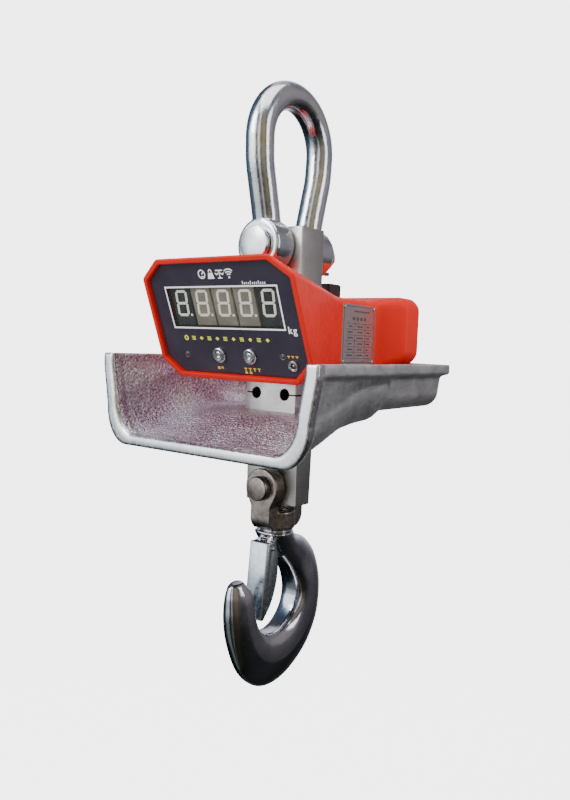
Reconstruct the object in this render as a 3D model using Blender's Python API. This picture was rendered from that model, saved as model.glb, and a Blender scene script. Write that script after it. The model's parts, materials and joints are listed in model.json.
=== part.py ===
"""Crane scale with a heat-shield tray, a lifting shackle above and a swivel hook below.

The scale hangs from its bow shackle. The origin is the inside of the bow's crown,
where the crane's hook bears. +Z is up, -Y is the display side and +X is the
nameplate side. Lengths in this script are millimetres; make() scales them to metres.
"""
import math

import bmesh
import bpy
from mathutils import Matrix, Vector

MM = 0.001
GAP = 0.3                     # clearance between pieces that touch

# Shackle
BAR_R = 14.0                  # radius of the bow's round bar
BOW_R = 50.0                  # centre line radius of the bow
BOW_Z = -(BOW_R - BAR_R)      # height of the bow's centre
PIN_Z = -138.0                # axis of the shackle pin
EAR_Y = 35.0                  # middle of an ear
EAR_T = 28.0                  # thickness of an ear
EAR_R = 26.0
PIN_R = 12.0
PIN_HEAD_R = 17.0
NUT_FLATS = 34.0
NUT_T = 12.5
PIN_HEAD_T = 5.8
PIN_END_Y = 72.0
COTTER_Y = 67.0
COTTER_R = 2.0
SPACER_R = 18.0               # outer radius of the washers between the ears and the load cell

# Load cell: a milled steel bar
CELL_HALF_W = 32.0
CELL_HALF_T = 19.0
CELL_TOP = -117.5
CELL_STEP = -322.0            # where the bar becomes thinner
CELL_THIN_HALF_T = 12.2
CELL_BOTTOM = -397.0
CELL_EDGE = 1.0
CELL_CLEAR = 1.5              # space between the bar and what it passes through
SLOT_HOLE_X = 18.0
SLOT_HOLE_Z = -284.0
SLOT_HOLE_R = 5.75
SLOT_W = 1.5
GAUGE_Z = -228.0              # pocket with the strain gauges, under a round cover
GAUGE_R = 14.0
GAUGE_DEPTH = 4.0

# Display head: a panel that leans forward at the top
TILT = math.radians(22.3)
PANEL_Y = -71.3
PANEL_Z = -262.0
PANEL_T = 2.2
PANEL_SIDE = [(66.2, 108.4), (87.2, 92.5), (88.8, 14.2), (70.9, -2.5)]
RIM_SIDE = [(68.3, 113.6), (92.3, 95.4), (94.0, 12.2), (73.2, -7.6)]
RIM_PROUD = 4.5
LEDGE_DEPTH = 3.5
LEDGE_W = 5.0
WALL = 3.0
WINDOW_HALF_W = 67.6
WINDOW_HALF_H = 19.6
WINDOW_H = 64.4
DIGIT_PITCH = 26.6
DIGIT_HALF = (11.2, 17.0)
DIGIT_DEPTH = (-11.2, -2.6)
STUDS = [(-44.0, 88.0), (44.0, 88.0), (-66.0, 36.0), (66.0, 36.0)]
STUD_R = 2.4
BUTTONS = {"left": -17.0, "right": 21.0}
BUTTON_H = 17.0
BUTTON_R = 6.0
CAP_R = 4.2
SOCKET_AT = (69.8, 10.0)
LEDS = {"power_led": (-60.0, 16.0), "charge_led": (59.5, 18.0)}
LED_R = 1.8
BOARDS = {"display_board": (70, 4, 91, -13.1, -11.5), "main_board": (52, 14, 72, -34.0, -32.4)}

# Waist and rear part of the casing
WAIST_HALF_W = 52.0
WAIST_Y = (26.5, 94.0)
WAIST_TOP = -183.5
WAIST_BOTTOM = -260.0
REAR_HALF_W = 81.0
REAR_TOP = -177.5
REAR_BOTTOM = -252.0
REAR_Y = 150.5
REAR_TURN = 14.0              # how far the rear edge is drawn in
PLATE_Y = (28.5, 92.5)
PLATE_Z = (-252.0, -189.5)
PLATE_T = 0.8
RIVET_IN = 3.2
BATTERY_BAY = (50.0, -236.0, -194.0)
BATTERY_DOOR = (57.0, -242.0, -188.0)
DOOR_T = 2.3
DOOR_SCREWS = [(-53.0, -238.0), (-53.0, -192.0), (53.0, -238.0), (53.0, -192.0)]
DOOR_HOLE_R = 1.9
BRACKET_Y = (3.0, 18.0)
BRACKET_T = 3.0
BRACKET_TOP = -222.0
BRACKET_FOOT = (-256.4, -253.6)
BRACKET_REACH = 45.5
BRACKET_SCREW = (10.5, -234.0)

# Heat-shield tray
TRAY_Y = (-125.5, 159.5)
TRAY_TOP = -249.0
TRAY_FLANGE_H = 10.0
TRAY_HALF_W = (131.0, 118.0)  # flange half width at the lip and at the rear
TRAY_WALL = 6.0
TRAY_STEP_Y = 22.0            # where the walls step inwards
TRAY_CORNER = 18.0
POSTS = [(38.0, 52.0, WAIST_BOTTOM), (60.0, 122.0, REAR_BOTTOM)]
POST_R = 6.5
SCREW_HOLE_R = 2.4

# Yoke, hook and latch
YOKE_PIN_Z = -380.0
YOKE_PIN_R = 9.0
YOKE_EAR_R = 20.0
YOKE_EAR_Y = (13.0, 28.5)
YOKE_NECK_HALF_W = 12.5
BARREL_R = 19.5
BARREL_Z = (-425.0, -405.0)
COUNTERBORE_Z = -415.0
COUNTERBORE_R = 15.4
NUT_PIN_Z = COUNTERBORE_Z + 4.6
NUT_PIN_R = 1.5
YOKE_HEAD_R = 12.5
YOKE_HEAD_T = 7.5
YOKE_COTTER_R = 1.5
YOKE_BEND_R = 13.0
STEM_R = 9.0
HOOK_NECK_TOP = -427.2
LATCH_PIN = (-19.5, -442.0)
LATCH_PIN_R = 2.2
LATCH_HALF_W = 12.0
LATCH_SHEET = 1.8
LUG_R = 5.2
LUG_HALF_W = LATCH_HALF_W - LATCH_SHEET - 0.8
LUG_SLOT_HALF_W = 4.5
COIL_R = 3.4
COIL_WIRE_R = 0.55
COIL_TURNS = 4
COIL_HALF_W = 3.2
LATCH_WEB = [(-28.0, -436.5), (-34.5, -514.0)]


# ---------------------------------------------------------------- materials

FINISHES = {
    "red_casing": ((0.62, 0.03, 0.012), 0.28, 0.0),
    "panel_film": ((0.033, 0.025, 0.05), 0.4, 0.0),
    "black_plastic": ((0.02, 0.02, 0.02), 0.5, 0.0),
    "window_acrylic": ((0.25, 0.23, 0.17), 0.08, 0.0),
    "digit_plastic": ((0.35, 0.33, 0.25), 0.4, 0.0),
    "circuit_board": ((0.02, 0.16, 0.06), 0.5, 0.0),
    "zinc_bar": ((0.62, 0.65, 0.68), 0.18, 1.0),
    "dark_steel": ((0.30, 0.26, 0.24), 0.35, 1.0),
    "brushed_steel": ((0.62, 0.60, 0.58), 0.35, 1.0),
    "hook_chrome": ((0.42, 0.44, 0.45), 0.14, 1.0),
    "latch_zinc": ((0.55, 0.60, 0.64), 0.3, 1.0),
    "cast_aluminium": ((0.55, 0.55, 0.56), 0.5, 1.0),
    "plate_silver": ((0.60, 0.60, 0.60), 0.35, 1.0),
    "cable_rubber": ((0.015, 0.015, 0.015), 0.6, 0.0),
    "led_lens": ((0.5, 0.05, 0.03), 0.2, 0.0),
}
materials = {}


def material(name):
    """The named finish as a Principled material, made once."""
    if name not in materials:
        colour, roughness, metallic = FINISHES[name]
        made = bpy.data.materials.new(name)
        made.use_nodes = True
        shader = made.node_tree.nodes["Principled BSDF"]
        shader.inputs["Base Color"].default_value = (*colour, 1.0)
        shader.inputs["Roughness"].default_value = roughness
        shader.inputs["Metallic"].default_value = metallic
        materials[name] = made
    return materials[name]


# ------------------------------------------------------------- mesh helpers

def loft(bm, rings):
    """A closed solid through rings of points that all have the same count."""
    grid = [[bm.verts.new(point) for point in ring] for ring in rings]
    count = len(grid[0])
    for near, far in zip(grid, grid[1:]):
        for i in range(count):
            j = (i + 1) % count
            bm.faces.new((near[i], near[j], far[j], far[i]))
    bm.faces.new(list(reversed(grid[0])))
    bm.faces.new(grid[-1])
    bmesh.ops.triangulate(bm, faces=bm.faces[:])


def turned(bm, profile, centre, axis, segments=24, ring=False):
    """Turn a profile of (distance along the axis, radius) about an axis through centre.

    A profile that is not a ring starts and ends on the axis, at radius 0.
    """
    centre = Vector(centre)
    along = Vector(axis).normalized()
    side = along.orthogonal().normalized()
    up = along.cross(side)
    rows = []
    for distance, radius in profile:
        base = centre + along * distance
        if radius == 0:
            rows.append([bm.verts.new(base)])
            continue
        row = []
        for i in range(segments):
            angle = 2 * math.pi * i / segments
            row.append(bm.verts.new(base + (side * math.cos(angle) + up * math.sin(angle)) * radius))
        rows.append(row)
    pairs = list(zip(rows, rows[1:]))
    if ring:
        pairs.append((rows[-1], rows[0]))
    for a, b in pairs:
        for i in range(segments):
            j = (i + 1) % segments
            corners = [a[i % len(a)], a[j % len(a)], b[j % len(b)], b[i % len(b)]]
            kept = list(dict.fromkeys(corners))
            bm.faces.new(kept)


def box(bm, low, high, bevel=0.0, segments=1):
    """An upright box between two corners, with every edge bevelled."""
    low, high = Vector(low), Vector(high)
    size = high - low
    place = Matrix.Translation((low + high) / 2) @ Matrix.Diagonal((*size, 1.0))
    made = bmesh.ops.create_cube(bm, size=1.0, matrix=place)
    if bevel:
        edges = list({edge for vert in made["verts"] for edge in vert.link_edges})
        bmesh.ops.bevel(bm, geom=edges, offset=bevel, segments=segments, profile=0.5,
                        affect='EDGES')


def prism(bm, outline, place, start, end):
    """Extrude a flat outline of (a, b) points; place(a, b, n) gives the point in space."""
    near = [place(a, b, start) for a, b in outline]
    far = [place(a, b, end) for a, b in outline]
    loft(bm, [near, far])


def upright_x(y, z, x):
    """Place for prism: the outline is seen along X."""
    return Vector((x, y, z))


def upright_y(x, z, y):
    """Place for prism: the outline is seen along Y."""
    return Vector((x, y, z))


def tube(bm, points, radius, segments=12):
    """A round bar along a list of points, closed at both ends."""
    points = [Vector(point) for point in points]
    rings = []
    side = None
    for i, point in enumerate(points):
        ahead = points[min(i + 1, len(points) - 1)]
        behind = points[max(i - 1, 0)]
        along = (ahead - behind).normalized()
        side = along.orthogonal() if side is None else side - along * side.dot(along)
        side.normalize()
        up = along.cross(side)
        ring = []
        for k in range(segments):
            angle = 2 * math.pi * k / segments
            ring.append(point + (side * math.cos(angle) + up * math.sin(angle)) * radius)
        rings.append(ring)
    loft(bm, rings)


def smooth_path(points, steps):
    """Points on a Catmull-Rom curve through the given points."""
    points = [Vector(point) for point in points]
    ends = [2 * points[0] - points[1]] + points + [2 * points[-1] - points[-2]]
    result = []
    for i in range(len(points) - 1):
        a, b, c, d = ends[i:i + 4]
        for k in range(steps):
            t = k / steps
            result.append(0.5 * (2 * b + (c - a) * t + (2 * a - 5 * b + 4 * c - d) * t ** 2
                                 + (3 * b - a - 3 * c + d) * t ** 3))
    result.append(points[-1])
    return result


def mirrored(side):
    """A closed outline from its right-hand half, listed from top to bottom."""
    return side + [(-x, z) for x, z in reversed(side)]


def smoothstep(low, high, value):
    t = min(max((value - low) / (high - low), 0.0), 1.0)
    return t * t * (3 - 2 * t)


# ----------------------------------------------------------- object helpers

origins = {}


def pivot(name, at, parent=None):
    """An empty on a joint's axis, which the moving pieces hang from."""
    empty = bpy.data.objects.new(name, None)
    bpy.context.scene.collection.objects.link(empty)
    origins[name] = Vector(at)
    attach(empty, Vector(at), parent)
    return empty


def attach(thing, origin, parent):
    """Put an object at its origin, which is given in world millimetres."""
    base = origins[parent.name] if parent else Vector((0, 0, 0))
    thing.parent = parent
    thing.location = (origin - base) * MM


def make(name, bm, finish, parent=None, origin=None, smooth=35.0):
    """Turn a mesh made in millimetres into a named object in metres."""
    if origin is None:
        origin = origins[parent.name] if parent else Vector((0, 0, 0))
    origin = Vector(origin)
    bmesh.ops.recalc_face_normals(bm, faces=bm.faces[:])
    for vert in bm.verts:
        vert.co = (vert.co - origin) * MM
    mesh = bpy.data.meshes.new(name)
    bm.to_mesh(mesh)
    bm.free()
    mesh.shade_smooth()
    mesh.set_sharp_from_angle(angle=math.radians(smooth))
    thing = bpy.data.objects.new(name, mesh)
    bpy.context.scene.collection.objects.link(thing)
    if finish:
        mesh.materials.append(material(finish))
    attach(thing, origin, parent)
    return thing


def combine(target, bm, operation='DIFFERENCE'):
    """Cut a shape out of an object, or join it on, with a Boolean modifier."""
    index = len(target.modifiers) + 1
    cutter = make(f"cutter_{target.name}_{index}", bm, None)
    cutter.hide_render = True
    cutter.display_type = 'WIRE'
    step = target.modifiers.new(f"shape_{index}", 'BOOLEAN')
    step.operation = operation
    step.solver = 'EXACT'
    step.object = cutter


def cylinder(centre, axis, start, end, radius, segments=24):
    bm = bmesh.new()
    turned(bm, [(start, 0), (start, radius), (end, radius), (end, 0)], centre, axis, segments)
    return bm


def block(low, high, bevel=0.0, segments=1):
    bm = bmesh.new()
    box(bm, low, high, bevel, segments)
    return bm


def panel_point(x, h, n):
    """A point from its place across the panel, up the panel and out from it."""
    return Vector((x, PANEL_Y - h * math.sin(TILT) - n * math.cos(TILT),
                   PANEL_Z + h * math.cos(TILT) - n * math.sin(TILT)))


PANEL_NORMAL = Vector((0, -math.cos(TILT), -math.sin(TILT)))


def washer(name, centre, axis, inner, outer, thickness, finish, parent, segments=24):
    bm = bmesh.new()
    turned(bm, [(0, inner), (0, outer), (thickness, outer), (thickness, inner)],
           centre, axis, segments, ring=True)
    return make(name, bm, finish, parent)


def screw(name, centre, axis, head_r, head_h, shank_r, shank_l, finish, parent, segments=12):
    """A button-head screw: axis points out of the head, centre is under the head."""
    socket_r = head_r * 0.45
    bm = bmesh.new()
    turned(bm, [(-shank_l, 0), (-shank_l, shank_r), (0, shank_r), (0, head_r),
                (head_h * 0.5, head_r * 0.97), (head_h, head_r * 0.72), (head_h, socket_r),
                (head_h * 0.4, socket_r), (head_h * 0.4, 0)], centre, axis, segments)
    return make(name, bm, finish, parent)


def hex_nut(name, centre, axis, flats, bore_r, thickness, finish, parent):
    """A hexagon nut with chamfered corners, from centre along the axis."""
    corner = flats / 2 / math.cos(math.pi / 6)
    bm = bmesh.new()
    turned(bm, [(0, 0), (0, flats / 2), (1.6, corner), (thickness - 1.6, corner),
                (thickness, flats / 2), (thickness, 0)], centre, axis, segments=6)
    nut = make(name, bm, finish, parent)
    combine(nut, cylinder(centre, axis, -1, thickness + 1, bore_r))
    return nut


def cotter(name, centre, reach, wire_r, finish, parent):
    """A split pin across a pin that lies along Y, with its end bent over at the bottom."""
    x, y, z = centre
    low = z - reach
    path = [(x, y, z + reach), (x, y, z), (x, y, low), (x + 0.6, y, low - 1.5),
            (x + 2.2, y, low - 2.6), (x + 6.5, y, low - 2.8)]
    bm = bmesh.new()
    tube(bm, path, wire_r, segments=8)
    pin = make(name, bm, finish, parent)
    eye = bmesh.new()
    ring_r = wire_r * 1.9
    turned(eye, [(-wire_r * 0.9, ring_r - wire_r * 0.8), (-wire_r * 0.9, ring_r + wire_r * 0.8),
                 (wire_r * 0.9, ring_r + wire_r * 0.8), (wire_r * 0.9, ring_r - wire_r * 0.8)],
           (x, y, z + reach + ring_r * 0.9), (0, 1, 0), 12, ring=True)
    combine(pin, eye, 'UNION')
    return pin


# ------------------------------------------------------------------ shackle

def shackle_path():
    """Centre line of the bow, from the front ear over the crown to the rear ear."""
    leg = smooth_path([(0, EAR_Y, PIN_Z), (0, EAR_Y, PIN_Z + 22), (0, EAR_Y + 7.0, PIN_Z + 52),
                       (0, BOW_R - 1.6, BOW_Z - 24), (0, BOW_R, BOW_Z)], 4)
    turns = 14
    bow = []
    for i in range(1, turns):
        angle = math.pi * i / turns
        bow.append(Vector((0, BOW_R * math.cos(angle), BOW_Z + BOW_R * math.sin(angle))))
    front = [Vector((0, -point.y, point.z)) for point in reversed(leg)]
    return leg + bow + front


def build_shackle():
    bm = bmesh.new()
    tube(bm, shackle_path(), BAR_R, segments=16)
    bow = make("shackle_bow", bm, "zinc_bar")
    for side in (-1, 1):
        ear = bmesh.new()
        edge = 3.0
        inner, outer = EAR_Y - EAR_T / 2, EAR_Y + EAR_T / 2
        turned(ear, [(inner, 0), (inner, EAR_R - edge), (inner + edge, EAR_R), (outer - edge, EAR_R),
                     (outer, EAR_R - edge), (outer, 0)], (0, 0, PIN_Z), (0, side, 0), 32)
        combine(bow, ear, 'UNION')
    combine(bow, cylinder((0, 0, PIN_Z), (0, 1, 0), -70, 70, PIN_R + GAP, 32))

    face = EAR_Y + EAR_T / 2 + 0.8
    head = -face - PIN_HEAD_T
    bm = bmesh.new()
    turned(bm, [(head, 0), (head, PIN_HEAD_R - 1.4), (head + 1.4, PIN_HEAD_R),
                (-face, PIN_HEAD_R), (-face, PIN_R), (PIN_END_Y - 1.5, PIN_R),
                (PIN_END_Y, PIN_R - 1.5), (PIN_END_Y, 0)], (0, 0, PIN_Z), (0, 1, 0), 28)
    pin = make("shackle_pin", bm, "zinc_bar")
    combine(pin, cylinder((0, COTTER_Y, PIN_Z), (0, 0, 1), -20, 20, COTTER_R + GAP, 12))
    hex_nut("shackle_nut", (0, face, PIN_Z), (0, 1, 0), NUT_FLATS, PIN_R + GAP, NUT_T, "zinc_bar", None)
    cotter("shackle_cotter", (0, COTTER_Y, PIN_Z), PIN_R + 3.0, COTTER_R, "dark_steel", None)
    thickness = EAR_Y - EAR_T / 2 - CELL_HALF_T - 3 * GAP - 0.2
    for name, side in (("pin_washer_front", -1), ("pin_washer_rear", 1)):
        washer(name, (0, side * (CELL_HALF_T + GAP), PIN_Z), (0, side, 0), PIN_R + GAP, SPACER_R,
               thickness, "zinc_bar", None, 24)


# ---------------------------------------------------------------- load cell

def build_load_cell(body):
    shoulder = 4.0
    outline = [(-CELL_HALF_T, CELL_TOP), (CELL_HALF_T, CELL_TOP), (CELL_HALF_T, CELL_STEP),
               (CELL_THIN_HALF_T, CELL_STEP - shoulder), (CELL_THIN_HALF_T, CELL_BOTTOM),
               (-CELL_THIN_HALF_T, CELL_BOTTOM), (-CELL_THIN_HALF_T, CELL_STEP - shoulder),
               (-CELL_HALF_T, CELL_STEP)]
    bm = bmesh.new()
    near = [bm.verts.new((-CELL_HALF_W, y, z)) for y, z in outline]
    far = [bm.verts.new((CELL_HALF_W, y, z)) for y, z in outline]
    for i in range(len(outline)):
        j = (i + 1) % len(outline)
        bm.faces.new((near[i], near[j], far[j], far[i]))
    bm.faces.new(near)
    bm.faces.new(far)
    bmesh.ops.bevel(bm, geom=bm.edges[:], offset=CELL_EDGE, segments=1, affect='EDGES')
    bmesh.ops.triangulate(bm, faces=bm.faces[:])
    cell = make("load_cell", bm, "brushed_steel", body)
    combine(cell, cylinder((0, 0, PIN_Z), (0, 1, 0), -30, 30, PIN_R + GAP, 32))
    combine(cell, cylinder((0, 0, YOKE_PIN_Z), (0, 1, 0), -30, 30, YOKE_PIN_R + GAP, 28))
    for side in (-1, 1):
        combine(cell, cylinder((side * SLOT_HOLE_X, 0, SLOT_HOLE_Z), (0, 1, 0), -30, 30,
                               SLOT_HOLE_R, 20))
        x_low, x_high = sorted((side * SLOT_HOLE_X, side * (CELL_HALF_W + 3)))
        combine(cell, block((x_low, -30, SLOT_HOLE_Z - SLOT_W / 2), (x_high, 30, SLOT_HOLE_Z + SLOT_W / 2)))
    combine(cell, cylinder((0, -CELL_HALF_T, GAUGE_Z), (0, 1, 0), -3, GAUGE_DEPTH, GAUGE_R, 24))
    bm = cylinder((0, -CELL_HALF_T, GAUGE_Z), (0, 1, 0), 0.5, GAUGE_DEPTH - GAP, GAUGE_R - GAP, 24)
    make("gauge_cover", bm, "brushed_steel", body)


# ------------------------------------------------------------------- casing

def cell_passage(low, high):
    """The clear space around the load cell between two heights."""
    half_w, half_t = CELL_HALF_W + CELL_CLEAR, CELL_HALF_T + CELL_CLEAR
    return block((-half_w, -half_t, low), (half_w, half_t, high))


def level_ring(y, side):
    """A whole upright section at y from its right-hand half."""
    return [Vector((x, y, z)) for x, z in mirrored(side)]


def shrink(side, amount):
    """The same half outline, moved inwards by an amount on every face."""
    (x1, z1), (x2, z2), (x3, z3), (x4, z4) = side
    cut = amount * 0.55
    return [(x1 - cut, z1 - amount), (x2 - amount, z2 - cut),
            (x3 - amount, z3 + cut), (x4 - cut, z4 + amount)]


def casing_rings(inset):
    """Sections of the casing behind the display head, front to back."""
    waist = [(WAIST_HALF_W - 5, WAIST_TOP), (WAIST_HALF_W, WAIST_TOP - 5),
             (WAIST_HALF_W, WAIST_BOTTOM + 5), (WAIST_HALF_W - 6, WAIST_BOTTOM)]
    rear = [(REAR_HALF_W - 9, REAR_TOP), (REAR_HALF_W, REAR_TOP - 9),
            (REAR_HALF_W, REAR_BOTTOM + 10), (REAR_HALF_W - 10, REAR_BOTTOM)]

    def between(t):
        return [((1 - t) * a[0] + t * b[0], (1 - t) * a[1] + t * b[1]) for a, b in zip(waist, rear)]

    front_y, back_y = WAIST_Y
    stations = [(front_y, waist), (back_y, waist), (back_y + 4, between(0.16)),
                (back_y + 11, between(0.62)), (back_y + 17, between(0.93)), (back_y + 25, rear),
                (REAR_Y - 20, rear), (REAR_Y - 9, shrink(rear, 4.0))]
    last = (REAR_Y, shrink(rear, REAR_TURN))
    if inset:
        stations = [(y, shrink(side, inset)) for y, side in stations]
        last = (REAR_Y - WALL, shrink(rear, REAR_TURN + inset))
    return [level_ring(y, side) for y, side in stations + [last]]


def build_casing(body):
    rim = [panel_point(x, h, RIM_PROUD) for x, h in mirrored(RIM_SIDE)]
    bm = bmesh.new()
    loft(bm, [rim] + casing_rings(0.0))
    casing = make("casing", bm, "red_casing", body, smooth=28.0)

    panel = mirrored(PANEL_SIDE)
    ledge = mirrored(shrink(PANEL_SIDE, LEDGE_W))
    bm = bmesh.new()
    loft(bm, [[panel_point(x, h, 12) for x, h in panel],
              [panel_point(x, h, -LEDGE_DEPTH) for x, h in panel],
              [panel_point(x, h, -LEDGE_DEPTH) for x, h in ledge]] + casing_rings(WALL))
    combine(casing, bm)
    combine(casing, cell_passage(-330, -100))
    bay_half_w, bay_low, bay_high = BATTERY_BAY
    combine(casing, block((-bay_half_w, REAR_Y - 8, bay_low), (bay_half_w, REAR_Y + 5, bay_high)))
    for post_x, post_y, bottom in POSTS:
        for side in (-1, 1):
            combine(casing, cylinder((side * post_x, post_y, bottom), (0, 0, 1), -5, 6, SCREW_HOLE_R, 12))


def build_front_panel(body):
    outline = mirrored(shrink(PANEL_SIDE, 0.35))
    bm = bmesh.new()
    prism(bm, outline, panel_point, -PANEL_T, 0.0)
    panel = make("front_panel", bm, "panel_film", body)
    window = [(WINDOW_HALF_W, WINDOW_H + WINDOW_HALF_H), (WINDOW_HALF_W, WINDOW_H - WINDOW_HALF_H)]
    bm = bmesh.new()
    prism(bm, mirrored(window), panel_point, -5, 5)
    combine(panel, bm)
    for x in BUTTONS.values():
        combine(panel, cylinder(panel_point(x, BUTTON_H, 0), PANEL_NORMAL, -5, 5, BUTTON_R + GAP))
    combine(panel, cylinder(panel_point(*SOCKET_AT, 0), PANEL_NORMAL, -5, 5, 4.5))
    for at in LEDS.values():
        combine(panel, cylinder(panel_point(*at, 0), PANEL_NORMAL, -5, 5, LED_R + GAP, 12))
    for x, h in STUDS:
        stud = cylinder(panel_point(x, h, 0), PANEL_NORMAL, DIGIT_DEPTH[0], -1.0, STUD_R, 12)
        combine(panel, stud, 'UNION')

    bm = bmesh.new()
    prism(bm, mirrored(shrink(PANEL_SIDE, 0.8)), panel_point, -LEDGE_DEPTH + GAP, -PANEL_T - GAP)
    gasket = make("panel_gasket", bm, "black_plastic", body)
    bm = bmesh.new()
    prism(bm, mirrored(shrink(PANEL_SIDE, 4.4)), panel_point, -8, 0)
    combine(gasket, bm)

    lens_gap = 0.4
    pane = [(WINDOW_HALF_W - lens_gap, WINDOW_H + WINDOW_HALF_H - lens_gap),
            (WINDOW_HALF_W - lens_gap, WINDOW_H - WINDOW_HALF_H + lens_gap)]
    bm = bmesh.new()
    prism(bm, mirrored(pane), panel_point, -1.8, -0.2)
    make("window_lens", bm, "window_acrylic", body)


def build_electronics(body):
    half_w, half_h = DIGIT_HALF
    for i in range(5):
        x = (i - 2) * DIGIT_PITCH
        outline = [(x - half_w, WINDOW_H - half_h), (x + half_w, WINDOW_H - half_h),
                   (x + half_w, WINDOW_H + half_h), (x - half_w, WINDOW_H + half_h)]
        bm = bmesh.new()
        prism(bm, outline, panel_point, *DIGIT_DEPTH)
        make(f"digit_{i + 1}", bm, "digit_plastic", body)
    for name, (half, low, high, back, front) in BOARDS.items():
        bm = bmesh.new()
        prism(bm, [(-half, low), (half, low), (half, high), (-half, high)], panel_point, back, front)
        board = make(name, bm, "circuit_board", body)
        if name == "display_board":
            for x in BUTTONS.values():
                combine(board, cylinder(panel_point(x, BUTTON_H, 0), PANEL_NORMAL, -20, 0, 2.2, 12))
    for name, at in LEDS.items():
        bm = bmesh.new()
        turned(bm, [(-6, 0), (-6, LED_R), (0.4, LED_R), (1.1, LED_R * 0.75), (1.5, 0)],
               panel_point(*at, 0), PANEL_NORMAL, 12)
        make(name, bm, "led_lens", body)
    bm = bmesh.new()
    turned(bm, [(-10, 0), (-10, 4.2), (GAP, 4.2), (GAP, 5.2), (1.8, 5.2), (2.2, 4.8), (2.2, 2.9),
                (-7, 2.9), (-7, 0.9), (1.2, 0.9), (1.2, 0)], panel_point(*SOCKET_AT, 0), PANEL_NORMAL, 20)
    make("charge_socket", bm, "zinc_bar", body)

    bm = bmesh.new()
    box(bm, (-58, 106, -240), (58, 141, -196), 3.0, 1)
    make("battery_pack", bm, "black_plastic", body)
    start = Vector((0, -CELL_HALF_T - 1.2, GAUGE_Z))
    end = panel_point(12.0, 44.0, -36.5)
    bm = bmesh.new()
    tube(bm, smooth_path([start, (0, -30, -229), (5, -44, -222), end], 5), 2.2, 8)
    make("cell_cable", bm, "cable_rubber", body)


def build_buttons(body):
    for side, x in BUTTONS.items():
        at = panel_point(x, BUTTON_H, 0)
        bm = bmesh.new()
        turned(bm, [(-8, CAP_R + GAP), (-8, BUTTON_R), (GAP, BUTTON_R), (GAP, 7.7), (1.7, 7.7),
                    (2.6, 6.9), (2.6, CAP_R + GAP)], at, PANEL_NORMAL, 24, ring=True)
        make(f"button_bezel_{side}", bm, "zinc_bar", body)
        bm = bmesh.new()
        turned(bm, [(-10.0, 0), (-10.0, 1.6), (-6.5, 1.6), (-6.5, CAP_R), (2.2, CAP_R), (3.0, CAP_R - 0.8),
                    (3.0, 1.7), (2.4, 1.2), (2.4, 0)], at, PANEL_NORMAL, 20)
        make(f"button_cap_{side}", bm, "zinc_bar", body, origin=at)


def build_outside_fittings(body):
    face = WAIST_HALF_W + GAP
    bm = bmesh.new()
    box(bm, (face, PLATE_Y[0], PLATE_Z[0]), (face + PLATE_T, PLATE_Y[1], PLATE_Z[1]))
    make("nameplate", bm, "plate_silver", body)
    corners = [(y, z) for y in (PLATE_Y[0] + RIVET_IN, PLATE_Y[1] - RIVET_IN)
               for z in (PLATE_Z[0] + RIVET_IN, PLATE_Z[1] - RIVET_IN)]
    for i, (y, z) in enumerate(corners):
        bm = bmesh.new()
        turned(bm, [(0, 0), (0, 1.7), (0.5, 1.5), (0.9, 0.8), (0.9, 0)],
               (face + PLATE_T + GAP, y, z), (1, 0, 0), 10)
        make(f"rivet_{i + 1}", bm, "plate_silver", body)

    bm = bmesh.new()
    box(bm, (-10, 67, WAIST_TOP + GAP), (10, 89, WAIST_TOP + 18), 2.0, 2)
    make("antenna_cap", bm, "black_plastic", body)

    door_half_w, door_low, door_high = BATTERY_DOOR
    door_face = REAR_Y + GAP + DOOR_T
    bm = bmesh.new()
    box(bm, (-door_half_w, REAR_Y + GAP, door_low), (door_half_w, door_face, door_high), 0.8, 1)
    cover = make("battery_cover", bm, "red_casing", body)
    for i, (x, z) in enumerate(DOOR_SCREWS):
        combine(cover, cylinder((x, REAR_Y, z), (0, 1, 0), -2, 6, DOOR_HOLE_R, 10))
        screw(f"cover_screw_{i + 1}", (x, door_face + GAP, z), (0, 1, 0), 3.2, 1.8, 1.5, 2.6,
              "zinc_bar", body)

    y_low, y_high = BRACKET_Y
    foot_low, foot_high = BRACKET_FOOT
    near = CELL_HALF_W + GAP
    far = near + BRACKET_T
    for side, name in ((-1, "left"), (1, "right")):
        bm = bmesh.new()
        x_low, x_high = sorted((side * near, side * far))
        box(bm, (x_low, y_low, foot_low), (x_high, y_high, BRACKET_TOP))
        bracket = make(f"casing_bracket_{name}", bm, "brushed_steel", body)
        x_low, x_high = sorted((side * near, side * BRACKET_REACH))
        combine(bracket, block((x_low, y_low, foot_low), (x_high, y_high, foot_high)), 'UNION')
        combine(bracket, cylinder((side * near, *BRACKET_SCREW), (side, 0, 0), -2, 6, SCREW_HOLE_R, 12))
        screw(f"bracket_screw_{name}", (side * (far + GAP), *BRACKET_SCREW), (side, 0, 0), 4.2, 2.6, 2.0,
              2.8, "zinc_bar", body)


# --------------------------------------------------------------------- tray

def floor_height(y):
    """Underside of the tray: it falls towards the lip in front."""
    points = [(-126.0, -338.0), (-84.0, -325.0), (-46.0, -311.5), (-14.0, -307.0), (12.0, -305.5)]
    if y >= TRAY_STEP_Y - 10:
        return -305.5 + 9.5 * smoothstep(TRAY_STEP_Y - 10, TRAY_STEP_Y + 6, y)
    y = max(y, points[0][0])
    for (y0, z0), (y1, z1) in zip(points, points[1:]):
        if y <= y1:
            return z0 + (z1 - z0) * (y - y0) / (y1 - y0)
    return points[-1][1]


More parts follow.
